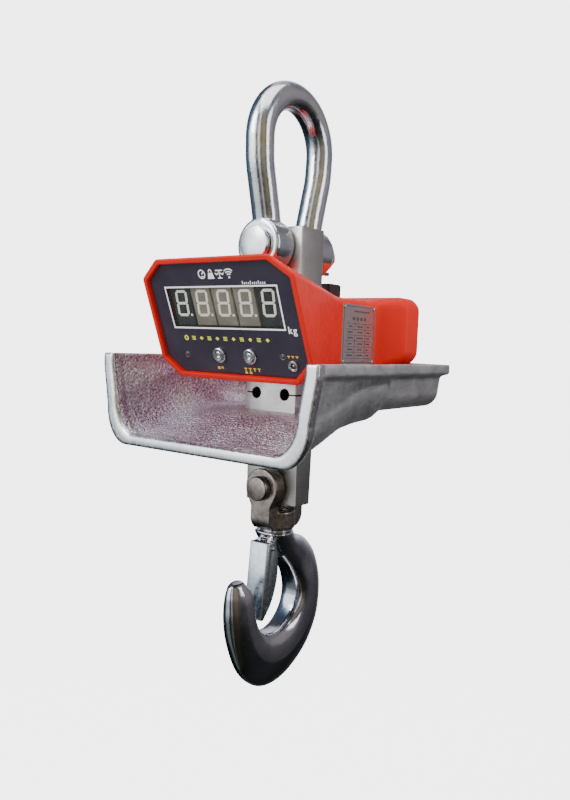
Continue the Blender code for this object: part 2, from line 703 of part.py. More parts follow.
def tray_section(y, inside):
    """Half outline of the tray at y, from the top edge down to the middle of the floor."""
    front, rear = TRAY_Y
    flange = TRAY_HALF_W[0] + (TRAY_HALF_W[1] - TRAY_HALF_W[0]) * (y - front) / (rear - front)
    step = smoothstep(TRAY_STEP_Y - 8, TRAY_STEP_Y + 6, y)
    lip = 1 - smoothstep(front + 9, front + 16, y)
    wall = flange - 4.5 - 6.0 * step
    corner_x = 27.0 - 9.0 * step
    corner_z = 38.0 - 20.0 * step
    lean = 5.5 - 3.5 * step
    low = floor_height(y)
    end = rear - (TRAY_WALL if inside else 0.0)
    past = max(0.0, (y - (end - TRAY_CORNER)) / TRAY_CORNER)
    turn = TRAY_CORNER * (1 - math.sqrt(max(0.0, 1 - past * past)))
    if inside:
        thick = TRAY_WALL + 3.5 * lip
        base = low + thick
        side = wall - thick - turn
        top = TRAY_TOP + 20
        points = [(side + 0.2, top), (side, TRAY_TOP - TRAY_FLANGE_H)]
        corner_x -= 1.5
        start_x = side - lean
    else:
        base = low - 1.5 * lip
        side = wall - turn
        flange_x = flange - turn
        points = [(flange_x, TRAY_TOP), (flange_x, TRAY_TOP - TRAY_FLANGE_H),
                  (side + 4.3 * lip, TRAY_TOP - TRAY_FLANGE_H - 3)]
        start_x = side - lean + 3.5 * lip
    steps = 6
    for i in range(steps + 1):
        angle = math.pi / 2 * i / steps
        points.append((start_x - corner_x * (1 - math.cos(angle)),
                       base + corner_z * (1 - math.sin(angle))))
    return points


def tray_ring(y, inside):
    return [Vector((x, y, z)) for x, z in mirrored(tray_section(y, inside))]


def build_tray(body):
    front, rear = TRAY_Y
    body_stations = [front, front + 9, front + 16, -84, -62, -46, -14, TRAY_STEP_Y - 10, TRAY_STEP_Y - 5,
                     TRAY_STEP_Y - 1, TRAY_STEP_Y + 3, TRAY_STEP_Y + 6, 80]
    rounding = [TRAY_CORNER * (1 - math.sin(math.pi / 2 * i / 5)) for i in range(5)]
    outer = body_stations + [rear - back for back in rounding] + [rear - 0.05]
    inner = [front - 8] + body_stations + [rear - TRAY_WALL - back for back in rounding]
    inner.append(rear - TRAY_WALL - 0.05)
    bm = bmesh.new()
    loft(bm, [tray_ring(y, False) for y in outer])
    tray = make("tray", bm, "cast_aluminium", body, smooth=30.0)
    bm = bmesh.new()
    loft(bm, [tray_ring(y, True) for y in inner])
    combine(tray, bm)
    combine(tray, cell_passage(-330, -270))
    number = 0
    for post_x, post_y, bottom in POSTS:
        floor = floor_height(post_y)
        for side in (-1, 1):
            number += 1
            base = (side * post_x, post_y, floor)
            combine(tray, cylinder(base, (0, 0, 1), 2.0, bottom - GAP - floor, POST_R, 16), 'UNION')
            combine(tray, cylinder(base, (0, 0, 1), -5, 60, SCREW_HOLE_R, 12))
            screw(f"tray_screw_{number}", (side * post_x, post_y, floor - GAP), (0, 0, -1), 5.0, 3.0,
                  2.0, bottom - floor + 2.5, "zinc_bar", body)


# --------------------------------------------------------------------- yoke

def build_yoke(body, nut_body):
    inner, outer = YOKE_EAR_Y
    low, high = BARREL_Z
    bend = YOKE_BEND_R
    side_view = [(-outer, -350.0)]
    for centre, start in ((bend - outer, 180), (outer - bend, 270)):
        for i in range(5):
            angle = math.radians(start + 90 * i / 4)
            side_view.append((centre + bend * math.cos(angle), low + 0.5 + bend + bend * math.sin(angle)))
    side_view += [(outer, -350.0), (inner, -350.0), (inner, high - 0.6),
                  (-inner, high - 0.6), (-inner, -350.0)]
    bm = bmesh.new()
    prism(bm, side_view, upright_x, -30, 30)
    yoke = make("yoke", bm, "dark_steel", body)
    front_view = []
    steps = 14
    for i in range(steps + 1):
        angle = math.radians(-30 + 240 * i / steps)
        front_view.append((YOKE_EAR_R * math.cos(angle), YOKE_PIN_Z + YOKE_EAR_R * math.sin(angle)))
    front_view += [(-YOKE_NECK_HALF_W, YOKE_PIN_Z - 19), (-YOKE_NECK_HALF_W, low - 5),
                   (YOKE_NECK_HALF_W, low - 5), (YOKE_NECK_HALF_W, YOKE_PIN_Z - 19)]
    bm = bmesh.new()
    prism(bm, front_view, upright_y, -40, 40)
    combine(yoke, bm, 'INTERSECT')
    bm = bmesh.new()
    turned(bm, [(low, 0), (low, BARREL_R - 2), (low + 2, BARREL_R), (high - 1, BARREL_R),
                (high, BARREL_R - 1), (high, 0)], (0, 0, 0), (0, 0, 1), 28)
    combine(yoke, bm, 'UNION')
    combine(yoke, cylinder((0, 0, YOKE_PIN_Z), (0, 1, 0), -40, 40, YOKE_PIN_R + GAP, 24))
    combine(yoke, cylinder((0, 0, 0), (0, 0, 1), low - 5, high + 5, STEM_R + 0.4, 20))
    combine(yoke, cylinder((0, 0, 0), (0, 0, 1), COUNTERBORE_Z, high + 5, COUNTERBORE_R, 24))

    face = outer + GAP
    head = -face - YOKE_HEAD_T
    pin_end = outer + 17.0
    cotter_y = pin_end - 4.0
    bm = bmesh.new()
    turned(bm, [(head, 0), (head, YOKE_HEAD_R - 1.2), (head + 1.2, YOKE_HEAD_R), (-face, YOKE_HEAD_R),
                (-face, YOKE_PIN_R), (pin_end - 1.2, YOKE_PIN_R), (pin_end, YOKE_PIN_R - 1.2),
                (pin_end, 0)], (0, 0, YOKE_PIN_Z), (0, 1, 0), 24)
    pin = make("yoke_pin", bm, "dark_steel", body)
    combine(pin, cylinder((0, cotter_y, YOKE_PIN_Z), (0, 0, 1), -15, 15, YOKE_COTTER_R + GAP, 10))
    hex_nut("yoke_nut", (0, face, YOKE_PIN_Z), (0, 1, 0), 27.0, YOKE_PIN_R + GAP, 9.0, "dark_steel", body)
    cotter("yoke_cotter", (0, cotter_y, YOKE_PIN_Z), YOKE_PIN_R + 2.5, YOKE_COTTER_R, "dark_steel", body)
    washer("thrust_washer", (0, 0, low - GAP), (0, 0, -1), STEM_R + GAP, 17.0, 1.5, "brushed_steel",
           nut_body, 24)
    nut = hex_nut("hook_nut", (0, 0, COUNTERBORE_Z + GAP), (0, 0, 1), 25.4, STEM_R + GAP, 8.2,
                  "dark_steel", nut_body)
    combine(nut, cylinder((0, 0, NUT_PIN_Z), (1, 0, 0), -20, 20, NUT_PIN_R + GAP, 10))
    bm = cylinder((0, 0, NUT_PIN_Z), (1, 0, 0), -12.5, 12.5, NUT_PIN_R, 10)
    make("hook_nut_pin", bm, "brushed_steel", nut_body)


# --------------------------------------------------------------------- hook

# Stations along the hook: inner point (y, z), outer point (y, z), half width.
HOOK_STATIONS = [
    ((-20.0, HOOK_NECK_TOP), (20.0, HOOK_NECK_TOP), 20.0),
    ((-18.5, -431.0), (21.0, -431.0), 19.5),
    ((-12.5, -440.0), (29.0, -436.0), 18.5),
    ((-3.0, -452.0), (45.0, -442.0), 17.5),
    ((16.0, -470.0), (63.0, -459.0), 17.0),
    ((27.0, -487.0), (72.5, -483.0), 17.5),
    ((30.0, -504.0), (75.0, -508.0), 17.5),
    ((23.5, -519.0), (71.0, -538.0), 17.5),
    ((9.5, -530.0), (52.0, -568.0), 17.5),
    ((-6.0, -533.5), (16.0, -589.0), 17.0),
    ((-21.0, -530.5), (-20.0, -590.0), 16.5),
    ((-33.0, -521.5), (-49.5, -570.0), 16.0),
    ((-40.0, -508.0), (-67.0, -537.0), 15.5),
    ((-42.0, -494.0), (-74.0, -509.0), 14.5),
    ((-45.5, -481.0), (-74.5, -487.5), 12.0),
    ((-53.0, -472.0), (-72.0, -474.0), 8.0),
]


def hook_ring(inner, outer, half_w, count=20):
    """A section with a broad, nearly flat inner face that narrows to a rounder outer side."""
    middle = (inner + outer) / 2
    reach = (outer - inner) / 2
    ring = []
    for i in range(count):
        angle = 2 * math.pi * i / count
        power = 0.85 if math.cos(angle) > 0 else 0.62
        out = math.copysign(abs(math.cos(angle)) ** power, math.cos(angle))
        across = math.copysign(abs(math.sin(angle)) ** power, math.sin(angle))
        across *= 1 - 0.3 * max(out, 0.0)
        ring.append(middle + reach * out + Vector((half_w * across, 0, 0)))
    return ring


def hook_rings(steps):
    inner = smooth_path([(0, *station[0]) for station in HOOK_STATIONS], steps)
    outer = smooth_path([(0, *station[1]) for station in HOOK_STATIONS], steps)
    width = smooth_path([(0, 0, station[2]) for station in HOOK_STATIONS], steps)
    rings = [hook_ring(i, o, w.z) for i, o, w in zip(inner, outer, width)]
    tip_in, tip_out = inner[-1], outer[-1]
    rise = Vector((0, 1.0, 3.0))
    rings.append(hook_ring(tip_in.lerp(tip_out, 0.14) + rise, tip_out.lerp(tip_in, 0.14) + rise, 5.4))
    return rings


def build_hook(body):
    pin_y, pin_z = LATCH_PIN
    count = 20
    turns = [2 * math.pi * i / count for i in range(count)]
    neck = [Vector((STEM_R * math.sin(angle), STEM_R * math.cos(angle), 0)) for angle in turns]
    stem_top = COUNTERBORE_Z + 9.0
    rings = [[point + Vector((0, 0, z)) for point in neck] for z in (stem_top, HOOK_NECK_TOP + 0.1)]
    rings[0] = [point - Vector((point.x, point.y, 0)) * 0.1 for point in rings[0]]
    rings.append([point * 2 + Vector((0, 0, HOOK_NECK_TOP + 0.05)) for point in neck])
    bm = bmesh.new()
    loft(bm, rings + hook_rings(2))
    hook = make("hook", bm, "hook_chrome", body, smooth=40.0)
    lug = bmesh.new()
    outline = [(-6.0, -434.0), (pin_y - 1.0, -434.0)]
    for i in range(7):
        angle = math.radians(90 + 180 * i / 6)
        outline.append((pin_y + LUG_R * math.cos(angle), pin_z + LUG_R * math.sin(angle)))
    outline += [(-2.0, -455.0), (6.0, -450.0)]
    prism(lug, outline, upright_x, -LUG_HALF_W, LUG_HALF_W)
    combine(hook, lug, 'UNION')
    combine(hook, block((-LUG_SLOT_HALF_W, pin_y - 9, pin_z - 9),
                        (LUG_SLOT_HALF_W, pin_y + LUG_R, pin_z + 9)))
    combine(hook, cylinder((0, pin_y, pin_z), (1, 0, 0), -20, 20, LATCH_PIN_R + GAP, 14))
    combine(hook, cylinder((0, 0, NUT_PIN_Z), (1, 0, 0), -20, 20, NUT_PIN_R + GAP, 10))
    bm = cylinder((0, pin_y, pin_z), (1, 0, 0), -LATCH_HALF_W - 2, LATCH_HALF_W + 2, LATCH_PIN_R, 14)
    make("latch_pin", bm, "brushed_steel", body)


def build_latch(body, hook_body):
    """A folded channel: its web is in front, across the mouth, and its side walls point back."""
    pin_y, pin_z = LATCH_PIN
    (top_y, top_z), (low_y, low_z) = LATCH_WEB
    back = smooth_path([(0, -14.5, top_z), (0, -12.0, -447.0), (0, -10.0, -464.0), (0, -12.5, -482.0),
                        (0, -20.0, -500.0), (0, -31.5, low_z)], 2)
    side_view = [(low_y, low_z), (top_y, top_z)] + [(point.y, point.z) for point in back]
    bm = bmesh.new()
    prism(bm, side_view, upright_x, -LATCH_HALF_W, LATCH_HALF_W)
    latch = make("latch", bm, "latch_zinc", body)
    lean = (top_y - low_y) / (top_z - low_z)
    above, below = top_z + 10, low_z - 10
    hollow = [(top_y + LATCH_SHEET + 10 * lean, above), (0, above), (0, below),
              (low_y + LATCH_SHEET - 10 * lean, below)]
    inside = LATCH_HALF_W - LATCH_SHEET
    bm = bmesh.new()
    prism(bm, hollow, upright_x, -inside, inside)
    combine(latch, bm)
    combine(latch, cylinder((0, pin_y, pin_z), (1, 0, 0), -20, 20, LATCH_PIN_R + GAP, 14))

    path = [(-COIL_HALF_W, pin_y - 5.6, pin_z - 20), (-COIL_HALF_W, pin_y - COIL_R - GAP, pin_z - 8)]
    count = COIL_TURNS * 10
    for i in range(count + 1):
        angle = math.pi + 2 * math.pi * COIL_TURNS * i / count
        path.append((-COIL_HALF_W + 2 * COIL_HALF_W * i / count, pin_y + COIL_R * math.cos(angle),
                     pin_z - COIL_R * math.sin(angle)))
    path.append((COIL_HALF_W, pin_y - COIL_R - GAP, pin_z - 6))
    bm = bmesh.new()
    tube(bm, path, COIL_WIRE_R, 6)
    make("latch_spring", bm, "brushed_steel", hook_body)


# -------------------------------------------------------------------- build

def clear_scene():
    for thing in list(bpy.data.objects):
        bpy.data.objects.remove(thing)


def build():
    clear_scene()
    build_shackle()
    scale = pivot("scale_swing", (0, 0, PIN_Z))
    build_load_cell(scale)
    build_casing(scale)
    build_front_panel(scale)
    build_electronics(scale)
    build_buttons(scale)
    build_outside_fittings(scale)
    build_tray(scale)
    yoke = pivot("yoke_swing", (0, 0, YOKE_PIN_Z), scale)
    swivel = pivot("hook_swivel", (0, 0, HOOK_NECK_TOP), yoke)
    build_yoke(yoke, swivel)
    build_hook(swivel)
    latch = pivot("latch_swing", (0, *LATCH_PIN), swivel)
    build_latch(latch, swivel)


build()
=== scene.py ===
import json
import math

import bmesh
import bpy
from mathutils import Matrix, Vector


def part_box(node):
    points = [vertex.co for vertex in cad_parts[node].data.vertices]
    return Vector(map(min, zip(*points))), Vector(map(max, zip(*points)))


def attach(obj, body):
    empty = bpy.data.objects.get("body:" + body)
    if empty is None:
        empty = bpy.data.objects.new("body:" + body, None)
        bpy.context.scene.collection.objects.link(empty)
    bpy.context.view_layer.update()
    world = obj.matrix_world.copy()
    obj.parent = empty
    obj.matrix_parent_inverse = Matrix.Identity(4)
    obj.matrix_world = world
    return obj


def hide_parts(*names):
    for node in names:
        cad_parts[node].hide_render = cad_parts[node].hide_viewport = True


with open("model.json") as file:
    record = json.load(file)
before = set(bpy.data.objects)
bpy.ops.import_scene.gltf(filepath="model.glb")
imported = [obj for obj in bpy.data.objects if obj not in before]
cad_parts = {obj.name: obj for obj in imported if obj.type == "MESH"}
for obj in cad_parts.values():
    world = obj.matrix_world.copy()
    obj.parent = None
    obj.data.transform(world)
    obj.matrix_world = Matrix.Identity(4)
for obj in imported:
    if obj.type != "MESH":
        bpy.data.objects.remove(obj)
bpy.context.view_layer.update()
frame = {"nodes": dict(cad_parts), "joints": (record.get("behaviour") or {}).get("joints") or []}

MM = 0.001
GAP = 0.3

joint_at = {j["name"]: Vector(j.get("pos_m", (0, 0, 0))) / MM for j in frame["joints"]}
PIN_Z = joint_at["shackle_swing"].z
YOKE_PIN_Z = joint_at["yoke_swing"].z
LATCH_PIN = (joint_at["latch_swing"].y, joint_at["latch_swing"].z)


def box_mm(node):
    low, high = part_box(node)
    return low / MM, high / MM


# Shackle
BAR_R = 14.0
BOW_R = 50.0
BOW_Z = -(BOW_R - BAR_R)
EAR_Y = 35.0
EAR_T = 28.0
EAR_R = 26.0
PIN_R = 12.0
PIN_HEAD_R = 17.0
NUT_FLATS = 34.0

# Load cell
CELL_HALF_W = 32.0
CELL_HALF_T = 19.0
CELL_TOP = -117.5
CELL_STEP = -322.0
CELL_THIN_HALF_T = 12.2
CELL_BOTTOM = -397.0
SLOT_HOLE_X = 18.0
SLOT_HOLE_Z = -284.0
SLOT_HOLE_R = 5.75
SLOT_W = 1.5

# Display head
TILT = math.radians(22.3)
PANEL_Y = -71.3
PANEL_Z = -262.0
PANEL_T = 2.2
PANEL_SIDE = [(66.2, 108.4), (87.2, 92.5), (88.8, 14.2), (70.9, -2.5)]
RIM_SIDE = [(68.3, 113.6), (92.3, 95.4), (94.0, 12.2), (73.2, -7.6)]
RIM_PROUD = 4.5
LEDGE_DEPTH = 3.5
LEDGE_W = 5.0
WALL = 3.0
WINDOW_HALF_W = 67.6
WINDOW_HALF_H = 19.6
WINDOW_H = 64.4
DIGIT_PITCH = 26.6
BUTTONS = {"left": -17.0, "right": 21.0}
BUTTON_H = 17.0
BUTTON_R = 6.0
CAP_R = 4.2
SOCKET_AT = (69.8, 10.0)
LEDS = {"power_led": (-60.0, 16.0), "charge_led": (59.5, 18.0)}
LED_R = 1.8

# Waist and rear of the casing
WAIST_HALF_W = 52.0
WAIST_Y = (26.5, 94.0)
WAIST_TOP = -183.5
WAIST_BOTTOM = -260.0
REAR_HALF_W = 81.0
REAR_TOP = -177.5
REAR_BOTTOM = -252.0
REAR_Y = 150.5

# Heat-shield tray
TRAY_Y = (-125.5, 159.5)
TRAY_TOP = -249.0
TRAY_FLANGE_H = 10.0
TRAY_HALF_W = (131.0, 118.0)
TRAY_WALL = 6.0
TRAY_STEP_Y = 22.0
TRAY_CORNER = 18.0
LIP_ROUND = 2.6
SCREW_HOLE_R = 2.4
POSTS = [(38.0, 52.0, WAIST_BOTTOM), (60.0, 122.0, REAR_BOTTOM)]

# Yoke, hook and latch
YOKE_PIN_R = 9.0
YOKE_EAR_R = 20.0
YOKE_EAR_Y = (13.0, 28.5)
YOKE_NECK_HALF_W = 12.5
BARREL_R = 19.5
BARREL_Z = (-425.0, -405.0)
COUNTERBORE_Z = -415.0
STEM_R = 9.0
HOOK_NECK_TOP = -427.2
LATCH_PIN_R = 2.2
LATCH_HALF_W = 12.0
LATCH_SHEET = 1.8
LATCH_WEB = [(-28.0, -436.5), (-34.5, -514.0)]


# ---------------------------------------------------------------- camera, light, floor

AIM = math.radians(36.9045)
PITCH = math.radians(4.1766)
ROLL = math.radians(2.3135)
CAMERA_AT = Vector((0.4689, -0.6179, -0.2345))
FLOOR_Z = -1.05
BACKDROP = 4.4
ROOM_LIGHT = 0.95
# What polished metal mirrors, by compass turn from -X through -Y, and by height from below to above.
STRIPS = [(0.00, (0.10, 0.17, 0.24)), (0.075, (0.16, 0.24, 0.32)), (0.13, (2.6, 2.7, 2.8)),
          (0.26, (2.9, 2.9, 2.9)), (0.30, (0.16, 0.17, 0.19)), (0.345, (0.30, 0.30, 0.31)),
          (0.375, (1.9, 1.85, 1.75)), (0.405, (0.22, 0.21, 0.20)), (0.47, (0.42, 0.34, 0.18)),
          (0.50, (0.17, 0.165, 0.17)), (0.63, (0.33, 0.30, 0.32)), (0.70, (0.20, 0.19, 0.21)),
          (0.80, (1.1, 1.1, 1.15)), (0.84, (0.09, 0.10, 0.12)), (1.0, (0.07, 0.11, 0.16))]
LEVELS = [(0.0, (0.05, 0.065, 0.055)), (0.22, (0.07, 0.08, 0.075)), (0.40, (0.35, 0.36, 0.36)),
          (0.50, (0.95, 0.95, 0.95)), (0.70, (1.0, 1.0, 1.0)), (1.0, (0.75, 0.78, 0.82))]


def make_node(tree, kind, **inputs):
    """A shader node, with each named input set to a value or linked to another node's output."""
    node = tree.nodes.new(kind)
    for socket, value in inputs.items():
        target = node.inputs[socket.replace("_", " ")]
        if isinstance(value, bpy.types.NodeSocket):
            tree.links.new(value, target)
        else:
            target.default_value = value
    return node


def fill_ramp(node, stops):
    """Give a colour ramp its stops, each a position and a colour or grey."""
    elements = node.color_ramp.elements
    while len(elements) < len(stops):
        elements.new(0.5)
    for element, (position, colour) in zip(elements, stops):
        element.position = position
        if isinstance(colour, (int, float)):
            colour = (colour, colour, colour)
        element.color = (*colour, 1.0)
    return node.outputs["Color"]


def make_camera():
    forward = Vector((-math.sin(AIM) * math.cos(PITCH), math.cos(AIM) * math.cos(PITCH), -math.sin(PITCH)))
    level = Vector((math.cos(AIM), math.sin(AIM), 0))
    upright = level.cross(forward)
    right = level * math.cos(ROLL) + upright * math.sin(ROLL)
    up = upright * math.cos(ROLL) - level * math.sin(ROLL)
    data = bpy.data.cameras.new("camera")
    data.lens = 33.8
    data.sensor_width = 36.0
    camera = bpy.data.objects.new("camera", data)
    bpy.context.scene.collection.objects.link(camera)
    turn = Matrix((right, up, -forward)).transposed()
    camera.matrix_world = Matrix.Translation(CAMERA_AT) @ turn.to_4x4()
    bpy.context.scene.camera = camera


def area_light(name, at, target, size, watts, colour=(1, 1, 1)):
    data = bpy.data.lights.new(name, 'AREA')
    data.shape = 'RECTANGLE'
    data.size, data.size_y = size
    data.energy = watts
    data.color = colour
    lamp = bpy.data.objects.new(name, data)
    bpy.context.scene.collection.objects.link(lamp)
    lamp.location = at
    lamp.rotation_mode = 'QUATERNION'
    lamp.rotation_quaternion = (Vector(at) - Vector(target)).to_track_quat('Z', 'Y')


def make_world():
    """An even pale surround, except that polished metal mirrors a darker studio with light strips."""
    world = bpy.data.worlds.new("studio")
    bpy.context.scene.world = world
    world.use_nodes = True
    tree = world.node_tree
    plain = tree.nodes["Background"]
    plain.inputs["Color"].default_value = (1, 1, 1, 1)
    where = tree.nodes.new("ShaderNodeTexCoord").outputs["Generated"]

    def node(kind, **inputs):
        return make_node(tree, kind, **inputs)

    def ramp(value, stops):
        made = node("ShaderNodeValToRGB", Fac=value)
        made.color_ramp.interpolation = 'EASE'
        return fill_ramp(made, stops)

    def times(a, b):
        made = tree.nodes.new("ShaderNodeMix")
        made.data_type = 'RGBA'
        made.blend_type = 'MULTIPLY'
        made.inputs[0].default_value = 1.0
        tree.links.new(a, made.inputs[6])
        tree.links.new(b, made.inputs[7])
        return made.outputs[2]

    wobble = node("ShaderNodeTexNoise", Vector=where, Scale=2.2)
    nudge = node("ShaderNodeVectorMath")
    nudge.operation = 'MULTIPLY_ADD'
    tree.links.new(wobble.outputs["Color"], nudge.inputs[0])
    nudge.inputs[1].default_value = (0.35, 0.35, 0.35)
    tree.links.new(where, nudge.inputs[2])
    round_about = node("ShaderNodeTexGradient", Vector=nudge.outputs[0])
    round_about.gradient_type = 'RADIAL'
    strips = ramp(round_about.outputs["Fac"], STRIPS)
    height = node("ShaderNodeSeparateXYZ", Vector=where).outputs["Z"]
    raised = node("ShaderNodeMapRange", Value=height, From_Min=-1.0)
    levels = ramp(raised.outputs["Result"], LEVELS)
    mirrored_room = node("ShaderNodeBackground", Color=times(strips, levels), Strength=1.0)
    path = node("ShaderNodeLightPath")
    strength = node("ShaderNodeMapRange", Value=path.outputs["Is Camera Ray"], To_Min=ROOM_LIGHT,
                    To_Max=BACKDROP)
    tree.links.new(strength.outputs["Result"], plain.inputs["Strength"])
    chooser = node("ShaderNodeMixShader", Fac=path.outputs["Is Glossy Ray"])
    tree.links.new(plain.outputs[0], chooser.inputs[1])
    tree.links.new(mirrored_room.outputs[0], chooser.inputs[2])
    tree.links.new(chooser.outputs[0], tree.nodes["World Output"].inputs["Surface"])


def make_floor():
    bm = bmesh.new()
    bmesh.ops.create_circle(bm, cap_ends=True, segments=96, radius=30.0,
                            matrix=Matrix.Translation((0, 0, FLOOR_Z)))
    mesh = bpy.data.meshes.new("floor")
    bm.to_mesh(mesh)
    bm.free()
    floor = bpy.data.objects.new("floor", mesh)
    bpy.context.scene.collection.objects.link(floor)
    glow = Finish("pale_floor", (0.5, 0.5, 0.5), 0.9, 0.0, Emission_Color=(1, 1, 1, 1),
                  Emission_Strength=3.85)
    mesh.materials.append(glow.material)
    floor.visible_glossy = False
    floor.visible_diffuse = False


# ---------------------------------------------------------------- materials

class Finish:
    """A Principled material that its author adds nodes to. Coordinates are the frame's, in metres."""

    def __init__(self, name, colour, roughness, metallic, **plain):
        self.material = bpy.data.materials.new(name)
        self.material.use_nodes = True
        self.tree = self.material.node_tree
        self.shader = self.tree.nodes["Principled BSDF"]
        self.set("Base Color", (*colour, 1.0))
        self.set("Roughness", roughness)
        self.set("Metallic", metallic)
        for socket, value in plain.items():
            self.set(socket.replace("_", " "), value)
        self.where = self.tree.nodes.new("ShaderNodeTexCoord").outputs["Object"]

    def set(self, socket, value):
        self.shader.inputs[socket].default_value = value

    def link(self, output, socket):
        self.tree.links.new(output, socket)

    def node(self, kind, **inputs):
        return make_node(self.tree, kind, **inputs)

    def noise(self, size, detail=3.0, stretch=None, roughness=0.5):
        """Noise whose lumps are about size millimetres, or longer where stretch is under 1."""
        where = self.where
        if stretch:
            where = self.node("ShaderNodeMapping", Vector=where, Scale=stretch).outputs["Vector"]
        return self.node("ShaderNodeTexNoise", Vector=where, Scale=1.0 / (size * MM), Detail=detail,
                         Roughness=roughness).outputs["Fac"]

    def cells(self, size, feature='F1'):
        node = self.node("ShaderNodeTexVoronoi", Vector=self.where, Scale=1.0 / (size * MM))
        node.feature = feature
        return node

    def ramp(self, value, stops):
        return fill_ramp(self.node("ShaderNodeValToRGB", Fac=value), stops)

    def span(self, value, low, high):
        """A noise's usual range, 0.3 to 0.7, spread over low to high."""
        return self.node("ShaderNodeMapRange", Value=value, From_Min=0.3, From_Max=0.7,
                         To_Min=low, To_Max=high).outputs["Result"]

    def mix(self, factor, a, b, blend='MIX'):
        node = self.tree.nodes.new("ShaderNodeMix")
        node.data_type = 'RGBA'
        node.blend_type = blend
        for value, socket in ((factor, node.inputs[0]), (a, node.inputs[6]), (b, node.inputs[7])):
            if isinstance(value, bpy.types.NodeSocket):
                self.link(value, socket)
            elif isinstance(value, (int, float)):
                socket.default_value = value
            else:
                socket.default_value = (*value, 1.0)
        return node.outputs[2]

    def add(self, a, b, share=1.0):
        node = self.tree.nodes.new("ShaderNodeMath")
        node.operation = 'MULTIPLY_ADD'
        self.link(b, node.inputs[0])
        node.inputs[1].default_value = share
        self.link(a, node.inputs[2])
        return node.outputs[0]

    def colour(self, output):
        self.link(output, self.shader.inputs["Base Color"])
        return self

    def rough(self, output):
        self.link(output, self.shader.inputs["Roughness"])
        return self

    def bump(self, height, strength, depth):
        """Raised detail depth millimetres high."""
        node = self.node("ShaderNodeBump", Strength=strength, Distance=depth * MM, Height=height)
        self.link(node.outputs["Normal"], self.shader.inputs["Normal"])
        return self


def zinc_bright():
    """Bright zinc plate on a forging, with blue and straw tints."""
    f = Finish("zinc_bright", (0.66, 0.68, 0.71), 0.16, 1.0)
    tint = f.ramp(f.noise(26.0, 3.0), [(0.30, (0.42, 0.52, 0.66)), (0.46, (0.66, 0.69, 0.73)),
                                       (0.60, (0.74, 0.75, 0.76)), (0.74, (0.72, 0.64, 0.45))])
    f.colour(f.mix(0.65, (0.70, 0.72, 0.75), tint))
    f.rough(f.span(f.noise(5.0, 4.0), 0.10, 0.26))
    return f.bump(f.add(f.noise(7.0, 2.0), f.noise(0.9, 2.0), 0.25), 0.22, 0.5).material


def zinc_machined():
    """Zinc plate on turned parts, with a softer shine."""
    f = Finish("zinc_machined", (0.75, 0.76, 0.78), 0.22, 1.0)
    f.colour(f.ramp(f.noise(9.0, 3.0), [(0.3, (0.62, 0.66, 0.72)), (0.7, (0.80, 0.80, 0.80))]))
    f.rough(f.span(f.noise(1.6, 3.0), 0.14, 0.32))
    return f.bump(f.noise(0.5, 2.0), 0.12, 0.12).material


def forged_brown():
    """Oiled forged steel with a brown cast."""
    f = Finish("forged_brown", (0.25, 0.22, 0.20), 0.34, 1.0)
    f.colour(f.ramp(f.noise(11.0, 4.0), [(0.30, (0.20, 0.165, 0.15)), (0.55, (0.33, 0.285, 0.26)),
                                         (0.75, (0.42, 0.38, 0.35))]))
    f.rough(f.span(f.noise(3.0, 4.0), 0.22, 0.44))
    return f.bump(f.add(f.noise(4.0, 3.0), f.noise(0.7, 2.0), 0.3), 0.3, 0.5).material


def brushed(name, colour, along, dark=0.78):
    """Milled steel with fine lines along an axis: 0 is X, 1 is Y, 2 is Z."""
    scale = [1.0, 1.0, 1.0]
    scale[along] = 0.02
    f = Finish(name, colour, 0.33, 1.0)
    lines = f.noise(0.45, 3.0, tuple(scale))
    blotch = f.noise(18.0, 3.0)
    shade = f.ramp(lines, [(0.3, tuple(c * dark for c in colour)), (0.7, colour)])
    f.colour(f.mix(f.span(blotch, 0.0, 0.3), shade, tuple(c * 0.72 for c in colour)))
    f.rough(f.span(blotch, 0.26, 0.42))
    return f.bump(lines, 0.25, 0.12).material


def hook_polish():
    """Dark polished chrome over a forging."""
    f = Finish("hook_polish", (0.36, 0.38, 0.40), 0.13, 1.0)
    tint = f.ramp(f.noise(30.0, 3.0), [(0.30, (0.40, 0.42, 0.52)), (0.48, (0.56, 0.57, 0.62)),
                                       (0.62, (0.62, 0.61, 0.65)), (0.76, (0.60, 0.55, 0.47))])
    f.colour(f.mix(0.8, (0.58, 0.58, 0.64), tint))
    f.rough(f.span(f.noise(6.0, 4.0), 0.08, 0.22))
    return f.bump(f.add(f.noise(9.0, 2.0), f.noise(1.1, 2.0), 0.2), 0.25, 0.6).material


def latch_plate():
    """Zinc-plated sheet with a faint spangle."""
    f = Finish("latch_plate", (0.52, 0.59, 0.63), 0.3, 1.0)
    cell = f.cells(5.0)
    f.colour(f.mix(0.35, f.ramp(f.noise(14.0, 3.0), [(0.3, (0.42, 0.53, 0.60)), (0.7, (0.62, 0.66, 0.68))]),
                   f.ramp(cell.outputs["Distance"], [(0.0, (0.50, 0.57, 0.62)), (0.8, (0.66, 0.71, 0.74))])))
    f.rough(f.span(f.noise(4.0, 3.0), 0.2, 0.38))
    return f.bump(f.noise(0.8, 3.0), 0.15, 0.15).material


